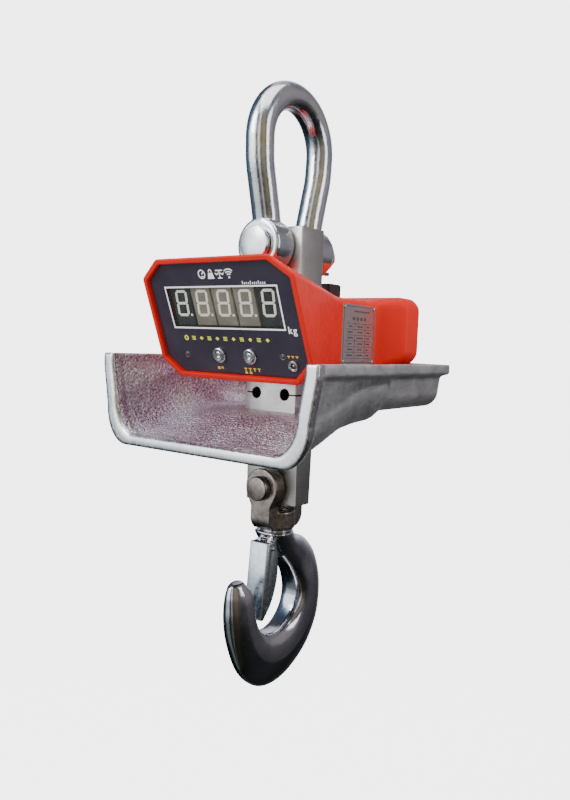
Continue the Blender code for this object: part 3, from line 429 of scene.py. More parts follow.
def cast_inside():
    """Coarse sand-cast aluminium with a grain. Its pink and mauve patches are a painted reflection of the red
    casing above, with painted light variation, and its white flecks are painted glints.
    """
    f = Finish("cast_inside", (0.62, 0.60, 0.62), 0.42, 1.0)
    grain = f.noise(2.1, 3.0, roughness=0.6)
    # Painted reflection: pink and mauve patches stand for the red casing mirrored in the tray and for uneven
    # light.
    casing_reflection_tone = f.ramp(f.noise(42.0, 3.0), [(0.32, (0.64, 0.50, 0.63)), (0.48, (0.80, 0.70, 0.85)),
                                       (0.62, (0.95, 0.94, 1.0))])
    fleck = f.ramp(grain, [(0.36, 0.42), (0.50, 0.72), (0.60, 1.0)])
    # Painted glints: white flecks in the grain stand for sparkle.
    glint_flecks = f.ramp(grain, [(0.60, 0.0), (0.70, 0.8)])
    f.colour(f.mix(glint_flecks, f.mix(1.0, casing_reflection_tone, fleck, 'MULTIPLY'), (1.0, 0.98, 1.0)))
    f.rough(f.span(f.noise(2.5, 3.0), 0.24, 0.50))
    return f.bump(f.add(grain, f.cells(2.6).outputs["Distance"], 0.6), 1.0, 2.2).material


def cast_outside():
    """The same casting outside: duller, with a finer skin."""
    f = Finish("cast_outside", (0.50, 0.50, 0.50), 0.52, 1.0)
    grain = f.add(f.noise(1.1, 4.0), f.noise(7.0, 3.0), 0.8)
    f.colour(f.ramp(f.noise(22.0, 4.0), [(0.30, (0.60, 0.60, 0.615)), (0.7, (0.82, 0.82, 0.85))]))
    f.rough(f.span(f.noise(5.0, 4.0), 0.40, 0.62))
    return f.bump(grain, 0.55, 0.8).material


def cast_lip():
    """The lip where it is ground and polished."""
    f = Finish("cast_lip", (0.80, 0.81, 0.83), 0.2, 1.0)
    lines = f.noise(0.8, 3.0, (1.0, 1.0, 0.08))
    f.colour(f.ramp(f.noise(10.0, 3.0), [(0.3, (0.70, 0.71, 0.73)), (0.7, (0.87, 0.87, 0.88))]))
    f.rough(f.span(f.noise(5.0, 3.0), 0.16, 0.34))
    return f.bump(f.add(lines, f.noise(5.0, 2.0), 1.0), 0.25, 0.3).material


def red_paint():
    """Glossy red stove enamel with a faint orange peel."""
    f = Finish("red_paint", (0.72, 0.012, 0.002), 0.46, 0.0, Specular_IOR_Level=0.2, Coat_Weight=0.05)
    f.colour(f.ramp(f.noise(38.0, 4.0), [(0.3, (0.68, 0.010, 0.002)), (0.7, (0.78, 0.014, 0.003))]))
    f.rough(f.span(f.noise(7.0, 4.0), 0.38, 0.54))
    return f.bump(f.add(f.noise(2.2, 2.0), f.noise(0.35, 2.0), 0.2), 0.10, 0.25).material


def panel_film():
    """Dark printed polyester with a fine satin grain."""
    f = Finish("panel_film", (0.032, 0.026, 0.045), 0.36, 0.0)
    f.colour(f.ramp(f.noise(30.0, 3.0), [(0.3, (0.029, 0.024, 0.042)), (0.7, (0.040, 0.032, 0.054))]))
    f.rough(f.span(f.noise(4.0, 3.0), 0.30, 0.42))
    return f.bump(f.noise(0.25, 2.0), 0.2, 0.05).material


def black_plastic():
    f = Finish("black_plastic", (0.02, 0.019, 0.019), 0.5, 0.0)
    f.colour(f.ramp(f.noise(9.0, 3.0), [(0.3, (0.016, 0.015, 0.015)), (0.7, (0.030, 0.028, 0.027))]))
    f.rough(f.span(f.noise(1.5, 3.0), 0.42, 0.58))
    return f.bump(f.cells(0.7).outputs["Distance"], 0.3, 0.1).material


def window_acrylic():
    """A smoked see-through pane with a few smears."""
    f = Finish("window_acrylic", (0.16, 0.15, 0.12), 0.06, 0.0, Alpha=0.16)
    f.rough(f.span(f.noise(20.0, 3.0), 0.04, 0.12))
    return f.bump(f.noise(40.0, 2.0), 0.05, 0.1).material


def digit_field(name, light, dark):
    """The potted face of an LED module."""
    f = Finish(name, light, 0.45, 0.0)
    f.colour(f.ramp(f.noise(15.0, 3.0), [(0.35, dark), (0.65, light)]))
    f.rough(f.span(f.noise(1.2, 2.0), 0.38, 0.52))
    return f.bump(f.noise(0.6, 2.0), 0.15, 0.05).material


def segment_white():
    """The pale bars of a digit, with a faint glow."""
    f = Finish("segment_white", (0.93, 0.91, 0.84), 0.4, 0.0, Emission_Color=(1.0, 0.97, 0.9, 1.0),
               Emission_Strength=0.4)
    f.colour(f.ramp(f.noise(1.4, 2.0), [(0.3, (0.88, 0.86, 0.78)), (0.7, (0.96, 0.94, 0.88))]))
    return f.bump(f.noise(0.4, 2.0), 0.1, 0.03).material


def ink(name, colour):
    """Screen-printed ink, slightly uneven, with a painted glow of its own colour."""
    # Painted glow: the ink gives off a little light though it is no lamp.
    f = Finish(name, colour, 0.45, 0.0, Emission_Color=(*colour, 1.0), Emission_Strength=0.3)
    f.colour(f.ramp(f.noise(1.0, 3.0), [(0.3, tuple(c * 0.82 for c in colour)), (0.6, colour)]))
    return f.bump(f.noise(0.3, 2.0), 0.2, 0.03).material


def circuit_green():
    f = Finish("circuit_green", (0.02, 0.16, 0.06), 0.4, 0.0)
    tracks = f.cells(3.0, 'DISTANCE_TO_EDGE').outputs["Distance"]
    f.colour(f.ramp(tracks, [(0.0, (0.05, 0.28, 0.10)), (0.12, (0.012, 0.12, 0.045))]))
    f.rough(f.span(f.noise(2.0, 2.0), 0.32, 0.5))
    return f.bump(tracks, 0.2, 0.05).material


def plate_silver():
    """Etched aluminium nameplate, brushed along its length."""
    f = Finish("plate_silver", (0.62, 0.62, 0.62), 0.36, 1.0)
    lines = f.noise(0.35, 2.0, (1.0, 0.03, 1.0))
    f.colour(f.ramp(lines, [(0.3, (0.52, 0.52, 0.52)), (0.7, (0.68, 0.68, 0.67))]))
    f.rough(f.span(f.noise(6.0, 3.0), 0.30, 0.45))
    return f.bump(lines, 0.2, 0.05).material


def cable_rubber():
    f = Finish("cable_rubber", (0.015, 0.015, 0.015), 0.6, 0.0)
    f.rough(f.span(f.noise(2.0, 3.0), 0.5, 0.7))
    return f.bump(f.noise(0.5, 2.0), 0.2, 0.05).material


def led_dome():
    f = Finish("led_dome", (0.10, 0.02, 0.015), 0.15, 0.0, Coat_Weight=0.5)
    f.colour(f.ramp(f.noise(1.0, 2.0), [(0.3, (0.08, 0.014, 0.010)), (0.7, (0.14, 0.03, 0.02))]))
    return f.bump(f.noise(0.5, 2.0), 0.05, 0.02).material


def hole_shade_and_jack_liner():
    # Near-black: painted shade on the walls of the load cell's holes and slots, and the real black liner of
    # the charge jack.
    f = Finish("hole_shade_and_jack_liner", (0.02, 0.02, 0.02), 0.6, 0.0)
    f.rough(f.span(f.noise(1.0, 2.0), 0.5, 0.7))
    return f.material


# ---------------------------------------------------------------- mesh helpers

def loft(bm, rings, closed=False):
    """A skin through rings with the same number of points, capped at its ends unless it closes."""
    grid = [[bm.verts.new(point) for point in ring] for ring in rings]
    count = len(grid[0])
    spans = list(zip(grid, grid[1:]))
    if closed:
        spans.append((grid[-1], grid[0]))
    for near, far in spans:
        for i in range(count):
            j = (i + 1) % count
            bm.faces.new((near[i], near[j], far[j], far[i]))
    if not closed:
        bm.faces.new(list(reversed(grid[0])))
        bm.faces.new(grid[-1])


def turned(bm, profile, centre, axis, segments=64, ring=False):
    """Turn (distance along the axis, radius) points about an axis; both ends are on it unless ring."""
    centre = Vector(centre)
    along = Vector(axis).normalized()
    side = along.orthogonal().normalized()
    up = along.cross(side)
    rows = []
    for distance, radius in profile:
        base = centre + along * distance
        if radius == 0:
            rows.append([bm.verts.new(base)])
            continue
        turns = [2 * math.pi * i / segments for i in range(segments)]
        rows.append([bm.verts.new(base + (side * math.cos(a) + up * math.sin(a)) * radius) for a in turns])
    pairs = list(zip(rows, rows[1:]))
    if ring:
        pairs.append((rows[-1], rows[0]))
    for a, b in pairs:
        for i in range(segments):
            j = (i + 1) % segments
            corners = [a[i % len(a)], a[j % len(a)], b[j % len(b)], b[i % len(b)]]
            bm.faces.new(list(dict.fromkeys(corners)))


def rounded(outline, radius, steps=4):
    """A closed outline whose corners are swapped for arcs of steps + 1 points."""
    result = []
    count = len(outline)
    for i in range(count):
        here = Vector(outline[i])
        before = Vector(outline[i - 1]) - here
        after = Vector(outline[(i + 1) % count]) - here
        reach = min(radius, before.length * 0.45, after.length * 0.45)
        a = here + before.normalized() * reach
        b = here + after.normalized() * reach
        for k in range(steps + 1):
            t = k / steps
            result.append(tuple(a * (1 - t) ** 2 + here * (2 * t * (1 - t)) + b * t ** 2))
    return result


def eased(profile, radius, steps=4):
    """The same for an open turned profile, whose end points stay."""
    middle = rounded([profile[0]] + profile[1:-1] + [profile[-1]], radius, steps)
    return [profile[0]] + middle[steps + 1:-(steps + 1)] + [profile[-1]]


def tube(bm, points, radius, segments=20):
    """A round bar along a list of points. radius may be a list, one for each point."""
    points = [Vector(point) for point in points]
    radii = radius if isinstance(radius, list) else [radius] * len(points)
    rings = []
    side = None
    for i, point in enumerate(points):
        along = (points[min(i + 1, len(points) - 1)] - points[max(i - 1, 0)]).normalized()
        side = along.orthogonal() if side is None else side - along * side.dot(along)
        side.normalize()
        up = along.cross(side)
        turns = [2 * math.pi * k / segments for k in range(segments)]
        rings.append([point + (side * math.cos(a) + up * math.sin(a)) * radii[i] for a in turns])
    loft(bm, rings)


def smooth_path(points, steps):
    """Points on a Catmull-Rom curve through the given points."""
    points = [Vector(point) for point in points]
    ends = [2 * points[0] - points[1]] + points + [2 * points[-1] - points[-2]]
    result = []
    for i in range(len(points) - 1):
        a, b, c, d = ends[i:i + 4]
        for k in range(steps):
            t = k / steps
            result.append(0.5 * (2 * b + (c - a) * t + (2 * a - 5 * b + 4 * c - d) * t ** 2
                                 + (3 * b - a - 3 * c + d) * t ** 3))
    result.append(points[-1])
    return result


def prism(bm, outline, place, start, end):
    """Extrude a flat outline of (a, b) points; place(a, b, n) gives the point in space."""
    loft(bm, [[place(a, b, start) for a, b in outline], [place(a, b, end) for a, b in outline]])


def soft_prism(bm, outline, place, start, end, edge):
    """The same with its front edge, at end, rounded."""
    levels = [(0.0, 1.0), (0.3, 0.7), (0.7, 0.3), (1.0, 0.0)]
    rings = [[place(a, b, start) for a, b in outline]]
    middle = sum((Vector(point) for point in outline), Vector((0, 0))) / len(outline)
    for inward, down in levels:
        ring = []
        for a, b in outline:
            away = Vector((a, b)) - middle
            pulled = Vector((a, b)) - Vector((math.copysign(min(edge, abs(away.x)), away.x),
                                              math.copysign(min(edge, abs(away.y)), away.y))) * inward
            ring.append(place(pulled.x, pulled.y, end - edge * down * math.copysign(1, end - start)))
        rings.append(ring)
    loft(bm, rings)


def box(bm, low, high, edge=0.0, segments=3):
    low, high = Vector(low), Vector(high)
    place = Matrix.Translation((low + high) / 2) @ Matrix.Diagonal((*(high - low), 1.0))
    made = bmesh.ops.create_cube(bm, size=1.0, matrix=place)
    if edge:
        edges = list({e for vert in made["verts"] for e in vert.link_edges})
        bmesh.ops.bevel(bm, geom=edges, offset=edge, segments=segments, profile=0.5, affect='EDGES')


def mirrored(side):
    return side + [(-x, z) for x, z in reversed(side)]


def smoothstep(low, high, value):
    t = min(max((value - low) / (high - low), 0.0), 1.0)
    return t * t * (3 - 2 * t)


def upright_x(y, z, x):
    return Vector((x, y, z))


def upright_y(x, z, y):
    return Vector((x, y, z))


def panel_point(x, h, n):
    """A point from its place across the panel, up the panel and out from it."""
    return Vector((x, PANEL_Y - h * math.sin(TILT) - n * math.cos(TILT),
                   PANEL_Z + h * math.cos(TILT) - n * math.sin(TILT)))


PANEL_NORMAL = Vector((0, -math.cos(TILT), -math.sin(TILT)))


# ---------------------------------------------------------------- piece helpers

def to_object(name, bm):
    bmesh.ops.recalc_face_normals(bm, faces=bm.faces[:])
    for vert in bm.verts:
        vert.co = vert.co * MM
    mesh = bpy.data.meshes.new(name)
    bm.to_mesh(mesh)
    bm.free()
    thing = bpy.data.objects.new(name, mesh)
    bpy.context.scene.collection.objects.link(thing)
    return thing


def bake_modifiers(thing):
    """Swap the mesh for what its modifiers make of it."""
    bpy.context.view_layer.update()
    graph = bpy.context.evaluated_depsgraph_get()
    made = bpy.data.meshes.new_from_object(thing.evaluated_get(graph))
    thing.modifiers.clear()
    old = thing.data
    thing.data = made
    bpy.data.meshes.remove(old)


def carve(thing, bm, operation='DIFFERENCE'):
    """Cut a shape out of a piece, or join it on."""
    cutter = to_object("cutter", bm)
    step = thing.modifiers.new("carve", 'BOOLEAN')
    step.operation = operation
    step.solver = 'EXACT'
    step.object = cutter
    bake_modifiers(thing)
    bpy.data.objects.remove(cutter)


def melt(thing, voxel, rounds):
    """Blend joined shapes into one skin, as a forging or casting is."""
    step = thing.modifiers.new("skin", 'REMESH')
    step.mode = 'VOXEL'
    step.voxel_size = voxel * MM
    soften = thing.modifiers.new("soften", 'SMOOTH')
    soften.factor = 0.5
    soften.iterations = rounds
    bake_modifiers(thing)


def soften_edges(thing, width, angle=40.0, segments=2):
    step = thing.modifiers.new("edges", 'BEVEL')
    step.width = width * MM
    step.segments = segments
    step.limit_method = 'ANGLE'
    step.angle_limit = math.radians(angle)
    step.harden_normals = False
    bake_modifiers(thing)


def cylinder(centre, axis, start, end, radius, segments=48):
    bm = bmesh.new()
    turned(bm, [(start, 0), (start, radius), (end, radius), (end, 0)], centre, axis, segments)
    return bm


def drill(centre, axis, start, end, radius, chamfer=0.8, segments=48):
    """A round hole with both mouths chamfered; start and end are the two faces."""
    bm = bmesh.new()
    over = 4.0
    turned(bm, [(start - over, 0), (start - over, radius + chamfer + over),
                (start + chamfer, radius), (end - chamfer, radius),
                (end + over, radius + chamfer + over), (end + over, 0)], centre, axis, segments)
    return bm


def finish(thing, materials, body, nodes=(), smooth=35.0, weighted=False):
    """Shade a piece, give it its material, and tie it to its body and CAD nodes."""
    mesh = thing.data
    if not mesh.materials:
        for item in materials if isinstance(materials, list) else [materials]:
            mesh.materials.append(item)
    mesh.shade_smooth()
    mesh.set_sharp_from_angle(angle=math.radians(smooth))
    if weighted:
        step = thing.modifiers.new("even_shading", 'WEIGHTED_NORMAL')
        step.keep_sharp = True
    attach(thing, body)
    if nodes:
        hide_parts(*nodes)
    return thing


def piece(name, bm, material, body, nodes=(), smooth=35.0):
    return finish(to_object(name, bm), material, body, nodes, smooth)


def ring_piece(name, centre, axis, inner, outer, thickness, material, body, nodes, edge=0.5):
    bm = bmesh.new()
    outline = rounded([(0, inner), (0, outer), (thickness, outer), (thickness, inner)], edge, 3)
    turned(bm, outline, centre, axis, 72, ring=True)
    return piece(name, bm, material, body, nodes)


def socket_screw(name, centre, axis, head_r, head_h, shank_r, shank_l, material, body, node):
    """A button-head screw with a hexagon socket; axis points out of the head."""
    dome = [(head_h * math.sin(a), head_r * (0.55 + 0.45 * math.cos(a)))
            for a in (math.pi / 2 * k / 6 for k in range(7))]
    bm = bmesh.new()
    turned(bm, [(-shank_l, 0), (-shank_l, shank_r * 0.8), (-shank_l + 0.4, shank_r), (0, shank_r),
                (0, head_r)] + dome[1:] + [(head_h, 0)], centre, axis, 40)
    thing = to_object(name, bm)
    socket = bmesh.new()
    turned(socket, [(head_h * 0.35, 0), (head_h * 0.35, head_r * 0.42), (head_h + 1, head_r * 0.42),
                    (head_h + 1, 0)], centre, axis, 6)
    carve(thing, socket)
    return finish(thing, material, body, [node])


def hex_nut(name, centre, axis, flats, bore_r, thickness, material, body, node, cross=None):
    """A hexagon nut, chamfered on both faces."""
    corner = flats / 2 / math.cos(math.pi / 6)
    drop = (corner - flats / 2) * 0.6
    bm = bmesh.new()
    turned(bm, [(0, 0), (0, corner), (thickness, corner), (thickness, 0)], centre, axis, 6)
    thing = to_object(name, bm)
    chamfer = bmesh.new()
    turned(chamfer, [(0, 0), (0, flats / 2 * 0.97), (drop + 0.4, corner + 0.2),
                     (thickness - drop - 0.4, corner + 0.2), (thickness, flats / 2 * 0.97), (thickness, 0)],
           centre, axis, 72)
    carve(thing, chamfer, 'INTERSECT')
    carve(thing, drill(centre, axis, 0, thickness, bore_r, 0.8))
    if cross:
        carve(thing, cross)
    soften_edges(thing, 0.35)
    return finish(thing, material, body, [node])


def split_pin(name, centre, reach, wire_r, material, body, node):
    """A split pin: an eye above, and one leg bent over below."""
    x, y, z = centre
    low = z - reach
    path = smooth_path([(x, y, z + reach), (x, y, z), (x, y, low), (x + 0.6, y, low - 1.5),
                        (x + 2.2, y, low - 2.6), (x + 6.5, y, low - 2.8)], 5)
    bm = bmesh.new()
    tube(bm, path, wire_r, 20)
    thing = to_object(name, bm)
    ring_r = wire_r * 1.9
    bead = [(wire_r * 0.85 * math.cos(a), ring_r + wire_r * 0.85 * math.sin(a))
            for a in (2 * math.pi * k / 14 for k in range(14))]
    eye = bmesh.new()
    turned(eye, bead, (x, y, z + reach + ring_r * 0.9), (0, 1, 0), 32, ring=True)
    carve(thing, eye, 'UNION')
    return finish(thing, material, body, [node])


# ---------------------------------------------------------------- shackle

def shackle_path():
    leg = smooth_path([(0, EAR_Y, PIN_Z), (0, EAR_Y, PIN_Z + 22), (0, EAR_Y + 7.0, PIN_Z + 52),
                       (0, BOW_R - 1.6, BOW_Z - 24), (0, BOW_R, BOW_Z)], 10)
    turns = 48
    bow = []
    for i in range(1, turns):
        angle = math.pi * i / turns
        bow.append(Vector((0, BOW_R * math.cos(angle), BOW_Z + BOW_R * math.sin(angle))))
    front = [Vector((0, -point.y, point.z)) for point in reversed(leg)]
    return leg + bow + front


def build_shackle(look):
    bm = bmesh.new()
    tube(bm, shackle_path(), BAR_R - 0.05, 48)
    bow = to_object("shackle_forging", bm)
    inner, outer = EAR_Y - EAR_T / 2, EAR_Y + EAR_T / 2
    for side in (-1, 1):
        ear = bmesh.new()
        turned(ear, eased([(inner, 0), (inner, EAR_R), (outer, EAR_R), (outer, 0)], 4.5, 5),
               (0, 0, PIN_Z), (0, side, 0), 72)
        carve(bow, ear, 'UNION')
    melt(bow, 1.0, 5)
    for side in (-1, 1):
        carve(bow, drill((0, 0, PIN_Z), (0, side, 0), inner, outer, PIN_R + GAP, 1.2, 72))
    finish(bow, look["zinc"], "shackle", ["shackle_bow"], 50)

    face = outer + 0.8
    head = 5.8
    end = box_mm("shackle_pin")[1].y
    cotter_y = end - 5.0
    bm = bmesh.new()
    turned(bm, [(-face - head, 0), (-face - head, PIN_HEAD_R - 1.4), (-face - head + 0.35, PIN_HEAD_R - 0.5),
                (-face - head + 1.2, PIN_HEAD_R), (-face - 0.5, PIN_HEAD_R), (-face, PIN_HEAD_R - 0.5),
                (-face, PIN_R), (end - 1.5, PIN_R), (end - 0.5, PIN_R - 0.6), (end, PIN_R - 1.8), (end, 0)],
           (0, 0, PIN_Z), (0, 1, 0), 72)
    pin = to_object("shackle_bolt", bm)
    cotter_r = 2.0
    carve(pin, cylinder((0, cotter_y, PIN_Z), (0, 0, 1), -20, 20, cotter_r + GAP, 24))
    finish(pin, look["machined"], "shackle", ["shackle_pin"])
    hex_nut("shackle_bolt_nut", (0, face, PIN_Z), (0, 1, 0), NUT_FLATS, PIN_R + GAP, 12.5, look["machined"],
            "shackle", "shackle_nut")
    split_pin("shackle_split_pin", (0, cotter_y, PIN_Z), PIN_R + 3.0, cotter_r, look["brown"], "shackle",
              "shackle_cotter")
    thickness = inner - CELL_HALF_T - 3 * GAP - 0.2
    for place, side in (("front", -1), ("rear", 1)):
        ring_piece(f"spacer_{place}", (0, side * (CELL_HALF_T + GAP), PIN_Z), (0, side, 0), PIN_R + GAP, 18.0,
                   thickness, look["machined"], "shackle", [f"pin_washer_{place}"])


# ---------------------------------------------------------------- load cell

def build_load_cell(look):
    shoulder = 4.0
    outline = [(-CELL_HALF_T, CELL_TOP), (CELL_HALF_T, CELL_TOP), (CELL_HALF_T, CELL_STEP),
               (CELL_THIN_HALF_T, CELL_STEP - shoulder), (CELL_THIN_HALF_T, CELL_BOTTOM),
               (-CELL_THIN_HALF_T, CELL_BOTTOM), (-CELL_THIN_HALF_T, CELL_STEP - shoulder),
               (-CELL_HALF_T, CELL_STEP)]
    bm = bmesh.new()
    prism(bm, outline, upright_x, -CELL_HALF_W, CELL_HALF_W)
    bmesh.ops.bevel(bm, geom=bm.edges[:], offset=1.0, segments=3, profile=0.5, affect='EDGES')
    cell = to_object("load_cell_bar", bm)
    carve(cell, drill((0, 0, PIN_Z), (0, 1, 0), -CELL_HALF_T, CELL_HALF_T, PIN_R + GAP, 1.0, 64))
    carve(cell, drill((0, 0, YOKE_PIN_Z), (0, 1, 0), -CELL_THIN_HALF_T, CELL_THIN_HALF_T,
                      YOKE_PIN_R + GAP, 0.8, 64))
    for side in (-1, 1):
        carve(cell, drill((side * SLOT_HOLE_X, 0, SLOT_HOLE_Z), (0, 1, 0), -CELL_HALF_T, CELL_HALF_T,
                          SLOT_HOLE_R, 0.5))
        low, high = sorted((side * SLOT_HOLE_X, side * (CELL_HALF_W + 3)))
        slot = bmesh.new()
        box(slot, (low, -30, SLOT_HOLE_Z - SLOT_W / 2), (high, 30, SLOT_HOLE_Z + SLOT_W / 2))
        carve(cell, slot)
    pocket = cylinder((0, -CELL_HALF_T, -228.0), (0, 1, 0), -3, 4.0, 14.0)
    carve(cell, pocket)
    cell.data.materials.clear()
    cell.data.materials.append(look["milled"])
    cell.data.materials.append(look["dark"])
    # Painted shade: the walls of the two holes and of the slots take the near-black second material, where
    # shade falls inside them.
    for polygon in cell.data.polygons:
        x, z = abs(polygon.center.x) / MM - SLOT_HOLE_X, polygon.center.z / MM - SLOT_HOLE_Z
        in_slot = abs(polygon.normal.z) > 0.9 and abs(abs(z) - SLOT_W / 2) < 0.1 and x > 0
        if in_slot or math.hypot(x, z) < SLOT_HOLE_R + 0.1:
            polygon.material_index = 1
    finish(cell, None, "scale_body", ["load_cell"])
    # Painted shade: a near-black rubber strip fills each slot beyond its hole, standing where there is only
    # shade.
    for place, side in (("left", -1), ("right", 1)):
        near, far = sorted((side * (SLOT_HOLE_X + SLOT_HOLE_R + 1.0), side * (CELL_HALF_W - 1.2)))
        fill_half_h = SLOT_W / 2 - 0.15
        depth = CELL_HALF_T - 1.0
        bm = bmesh.new()
        box(bm, (near, -depth, SLOT_HOLE_Z - fill_half_h), (far, depth, SLOT_HOLE_Z + fill_half_h), 0.2)
        piece(f"slot_shade_fill_{place}", bm, look["rubber"], "scale_body")


def cell_passage(low, high):
    """The opening that the load cell passes through, with room all round."""
    half_w, half_t = CELL_HALF_W + 1.5, CELL_HALF_T + 1.5
    bm = bmesh.new()
    box(bm, (-half_w, -half_t, low), (half_w, half_t, high))
    return bm


# ---------------------------------------------------------------- casing

def posts():
    """Each post's number and place, the height it reaches, and the tray's floor at its foot."""
    places = [(side * x, y, top) for x, y, top in POSTS for side in (-1, 1)]
    for number, (x, y, top) in enumerate(places, 1):
        yield number, x, y, top, floor_height(y)


def shrink(side, amount):
    """Half an outline of four corners, moved inwards by amount."""
    (x1, z1), (x2, z2), (x3, z3), (x4, z4) = side
    cut = amount * 0.55
    return [(x1 - cut, z1 - amount), (x2 - amount, z2 - cut),
            (x3 - amount, z3 + cut), (x4 - cut, z4 + amount)]


def rim_ring(side, inset, n, corner):
    return [panel_point(x, h, n) for x, h in rounded(mirrored(shrink(side, inset)), corner)]


def level_ring(side, y, corner):
    return [Vector((x, y, z)) for x, z in rounded(mirrored(side), corner)]


def rolled_rim(side, radius, inwards, corner, first=0):
    """Rings round the rim's edge, a quarter of a turn up to its front."""
    rings = []
    for k in range(first, 5):
        angle = math.pi / 2 * k / 4
        inset = inwards * radius * (1 - math.sin(angle))
        rings.append(rim_ring(side, inset, RIM_PROUD - radius * (1 - math.cos(angle)), corner))
    return rings


def casing_rings(inset, front):
    """Sections behind the front ring: the tapering head, the waist and the wider rear."""
    waist = shrink([(WAIST_HALF_W - 5, WAIST_TOP), (WAIST_HALF_W, WAIST_TOP - 5),
                    (WAIST_HALF_W, WAIST_BOTTOM + 5), (WAIST_HALF_W - 6, WAIST_BOTTOM)], inset)
    rear = shrink([(REAR_HALF_W - 9, REAR_TOP), (REAR_HALF_W, REAR_TOP - 9),
                   (REAR_HALF_W, REAR_BOTTOM + 10), (REAR_HALF_W - 10, REAR_BOTTOM)], inset)
    front_y, back_y = WAIST_Y
    start = level_ring(waist, front_y, 3.0)
    settled = level_ring(waist, front_y + 9.0, 3.0)

    def cone(t):
        return [a.lerp(b, t) for a, b in zip(front, start)]

    rings = [cone(t) for t in (0.3, 0.6, 0.88)]
    bend = cone(0.92)
    for s in (0.0, 0.2, 0.4, 0.6, 0.8, 1.0):
        rings.append([a * (1 - s) ** 2 + b * (2 * s * (1 - s)) + c * s ** 2
                      for a, b, c in zip(bend, start, settled)])
    rings.append(level_ring(waist, back_y - 12.0, 3.0))
    flare = 27.0
    steps = 12
    for k in range(steps + 1):
        y = back_y - 3.0 + flare * k / steps
        t = smoothstep(back_y - 3.0, back_y - 3.0 + flare, y)
        side = [((1 - t) * a[0] + t * b[0], (1 - t) * a[1] + t * b[1]) for a, b in zip(waist, rear)]
        rings.append(level_ring(side, y, 3.0 + 3.0 * t))
    turn = 14.0
    end = REAR_Y - inset
    for k in range(9):
        angle = math.pi / 2 * k / 8
        rings.append(level_ring(shrink(rear, turn * (1 - math.cos(angle))),
                                end - turn * (1 - math.sin(angle)), 6.0))
    return rings


def build_casing(look):
    rings = rolled_rim(RIM_SIDE, 1.8, 1, 3.0)
    bm = bmesh.new()
    loft(bm, rings + casing_rings(0.0, rings[-1]))
    casing = to_object("casing_shell", bm)
    mouth = [rim_ring(PANEL_SIDE, -1.2, 14.0, 2.0), rim_ring(PANEL_SIDE, -1.2, RIM_PROUD + 0.05, 2.0)]
    mouth += rolled_rim(PANEL_SIDE, 1.2, -1, 2.0, 1)
    mouth.append(rim_ring(PANEL_SIDE, 0, -LEDGE_DEPTH, 2.0))
    ledge = rim_ring(PANEL_SIDE, LEDGE_W, -LEDGE_DEPTH, 2.0)
    bm = bmesh.new()
    loft(bm, mouth + [ledge] + casing_rings(WALL, ledge))
    carve(casing, bm)
    carve(casing, cell_passage(-330, -100))
    bay = bmesh.new()
    box(bay, (-50, REAR_Y - 8, -236), (50, REAR_Y + 5, -194))
    carve(casing, bay)
    for _, x, y, top, _ in posts():
        carve(casing, cylinder((x, y, top), (0, 0, 1), -5, 6, SCREW_HOLE_R, 20))
    finish(casing, look["red"], "scale_body", ["casing"], 32, weighted=True)


def print_on_panel(name, shapes, material):
    """Flat printed shapes on the panel, each an outline of (x, h) points."""
    bm = bmesh.new()
    for outline in shapes:
        prism(bm, outline, panel_point, 0.02, 0.16)
    return piece(name, bm, material, "scale_body")


def bar(x0, h0, x1, h1, width):
    """The outline of a straight stroke between two points."""
    a, b = Vector((x0, h0)), Vector((x1, h1))
    across = (b - a).normalized().orthogonal() * width / 2
    return [tuple(a + across), tuple(a - across), tuple(b - across), tuple(b + across)]


def rectangle(x, h, half_w, half_h):
    return [(x - half_w, h - half_h), (x + half_w, h - half_h),
            (x + half_w, h + half_h), (x - half_w, h + half_h)]


def arc_strokes(x, h, radius, start, stop, width, steps=8):
    """A curved stroke as short straight ones that touch."""
    shapes = []
    for k in range(steps):
        a0, a1 = (math.radians(start + (stop - start) * j / steps) for j in (k, k + 1))
        inner, outer = radius - width / 2, radius + width / 2
        shapes.append([(x + inner * math.cos(a0), h + inner * math.sin(a0)),
                       (x + outer * math.cos(a0), h + outer * math.sin(a0)),
                       (x + outer * math.cos(a1), h + outer * math.sin(a1)),
                       (x + inner * math.cos(a1), h + inner * math.sin(a1))])
    return shapes


def build_panel(look):
    outline = rounded(mirrored(shrink(PANEL_SIDE, 0.35)), 1.5)
    bm = bmesh.new()
    soft_prism(bm, outline, panel_point, -PANEL_T, 0.0, 0.3)
    panel = to_object("panel_sheet", bm)
    opening = bmesh.new()
    prism(opening, rounded(mirrored([(WINDOW_HALF_W, WINDOW_H + WINDOW_HALF_H),
                                     (WINDOW_HALF_W, WINDOW_H - WINDOW_HALF_H)]), 1.2), panel_point, -5, 5)
    carve(panel, opening)
    for x in BUTTONS.values():
        carve(panel, cylinder(panel_point(x, BUTTON_H, 0), PANEL_NORMAL, -5, 5, BUTTON_R + GAP))
    carve(panel, cylinder(panel_point(*SOCKET_AT, 0), PANEL_NORMAL, -5, 5, 4.5))
    for at in LEDS.values():
        carve(panel, cylinder(panel_point(*at, 0), PANEL_NORMAL, -5, 5, LED_R + GAP, 24))
    finish(panel, look["film"], "scale_body", ["front_panel"])

    pane = bmesh.new()
    lens_w, lens_h = WINDOW_HALF_W - 0.4, WINDOW_HALF_H - 0.4
    soft_prism(pane, rounded(mirrored([(lens_w, WINDOW_H + lens_h), (lens_w, WINDOW_H - lens_h)]), 1.0),
               panel_point, -1.8, -0.2, 0.3)
    piece("window_pane", pane, look["acrylic"], "scale_body", ["window_lens"])

    line = 1.5
    across, up = WINDOW_HALF_W + line / 2, WINDOW_HALF_H + line / 2
    low, high = WINDOW_H - up, WINDOW_H + up
    frame_lines = [rectangle(0, h, across + line / 2, line / 2) for h in (low, high)]
    frame_lines += [rectangle(x, WINDOW_H, line / 2, up - line / 2) for x in (-across, across)]
    print_on_panel("window_border", frame_lines, look["white_ink"])
    build_pictograms(look)


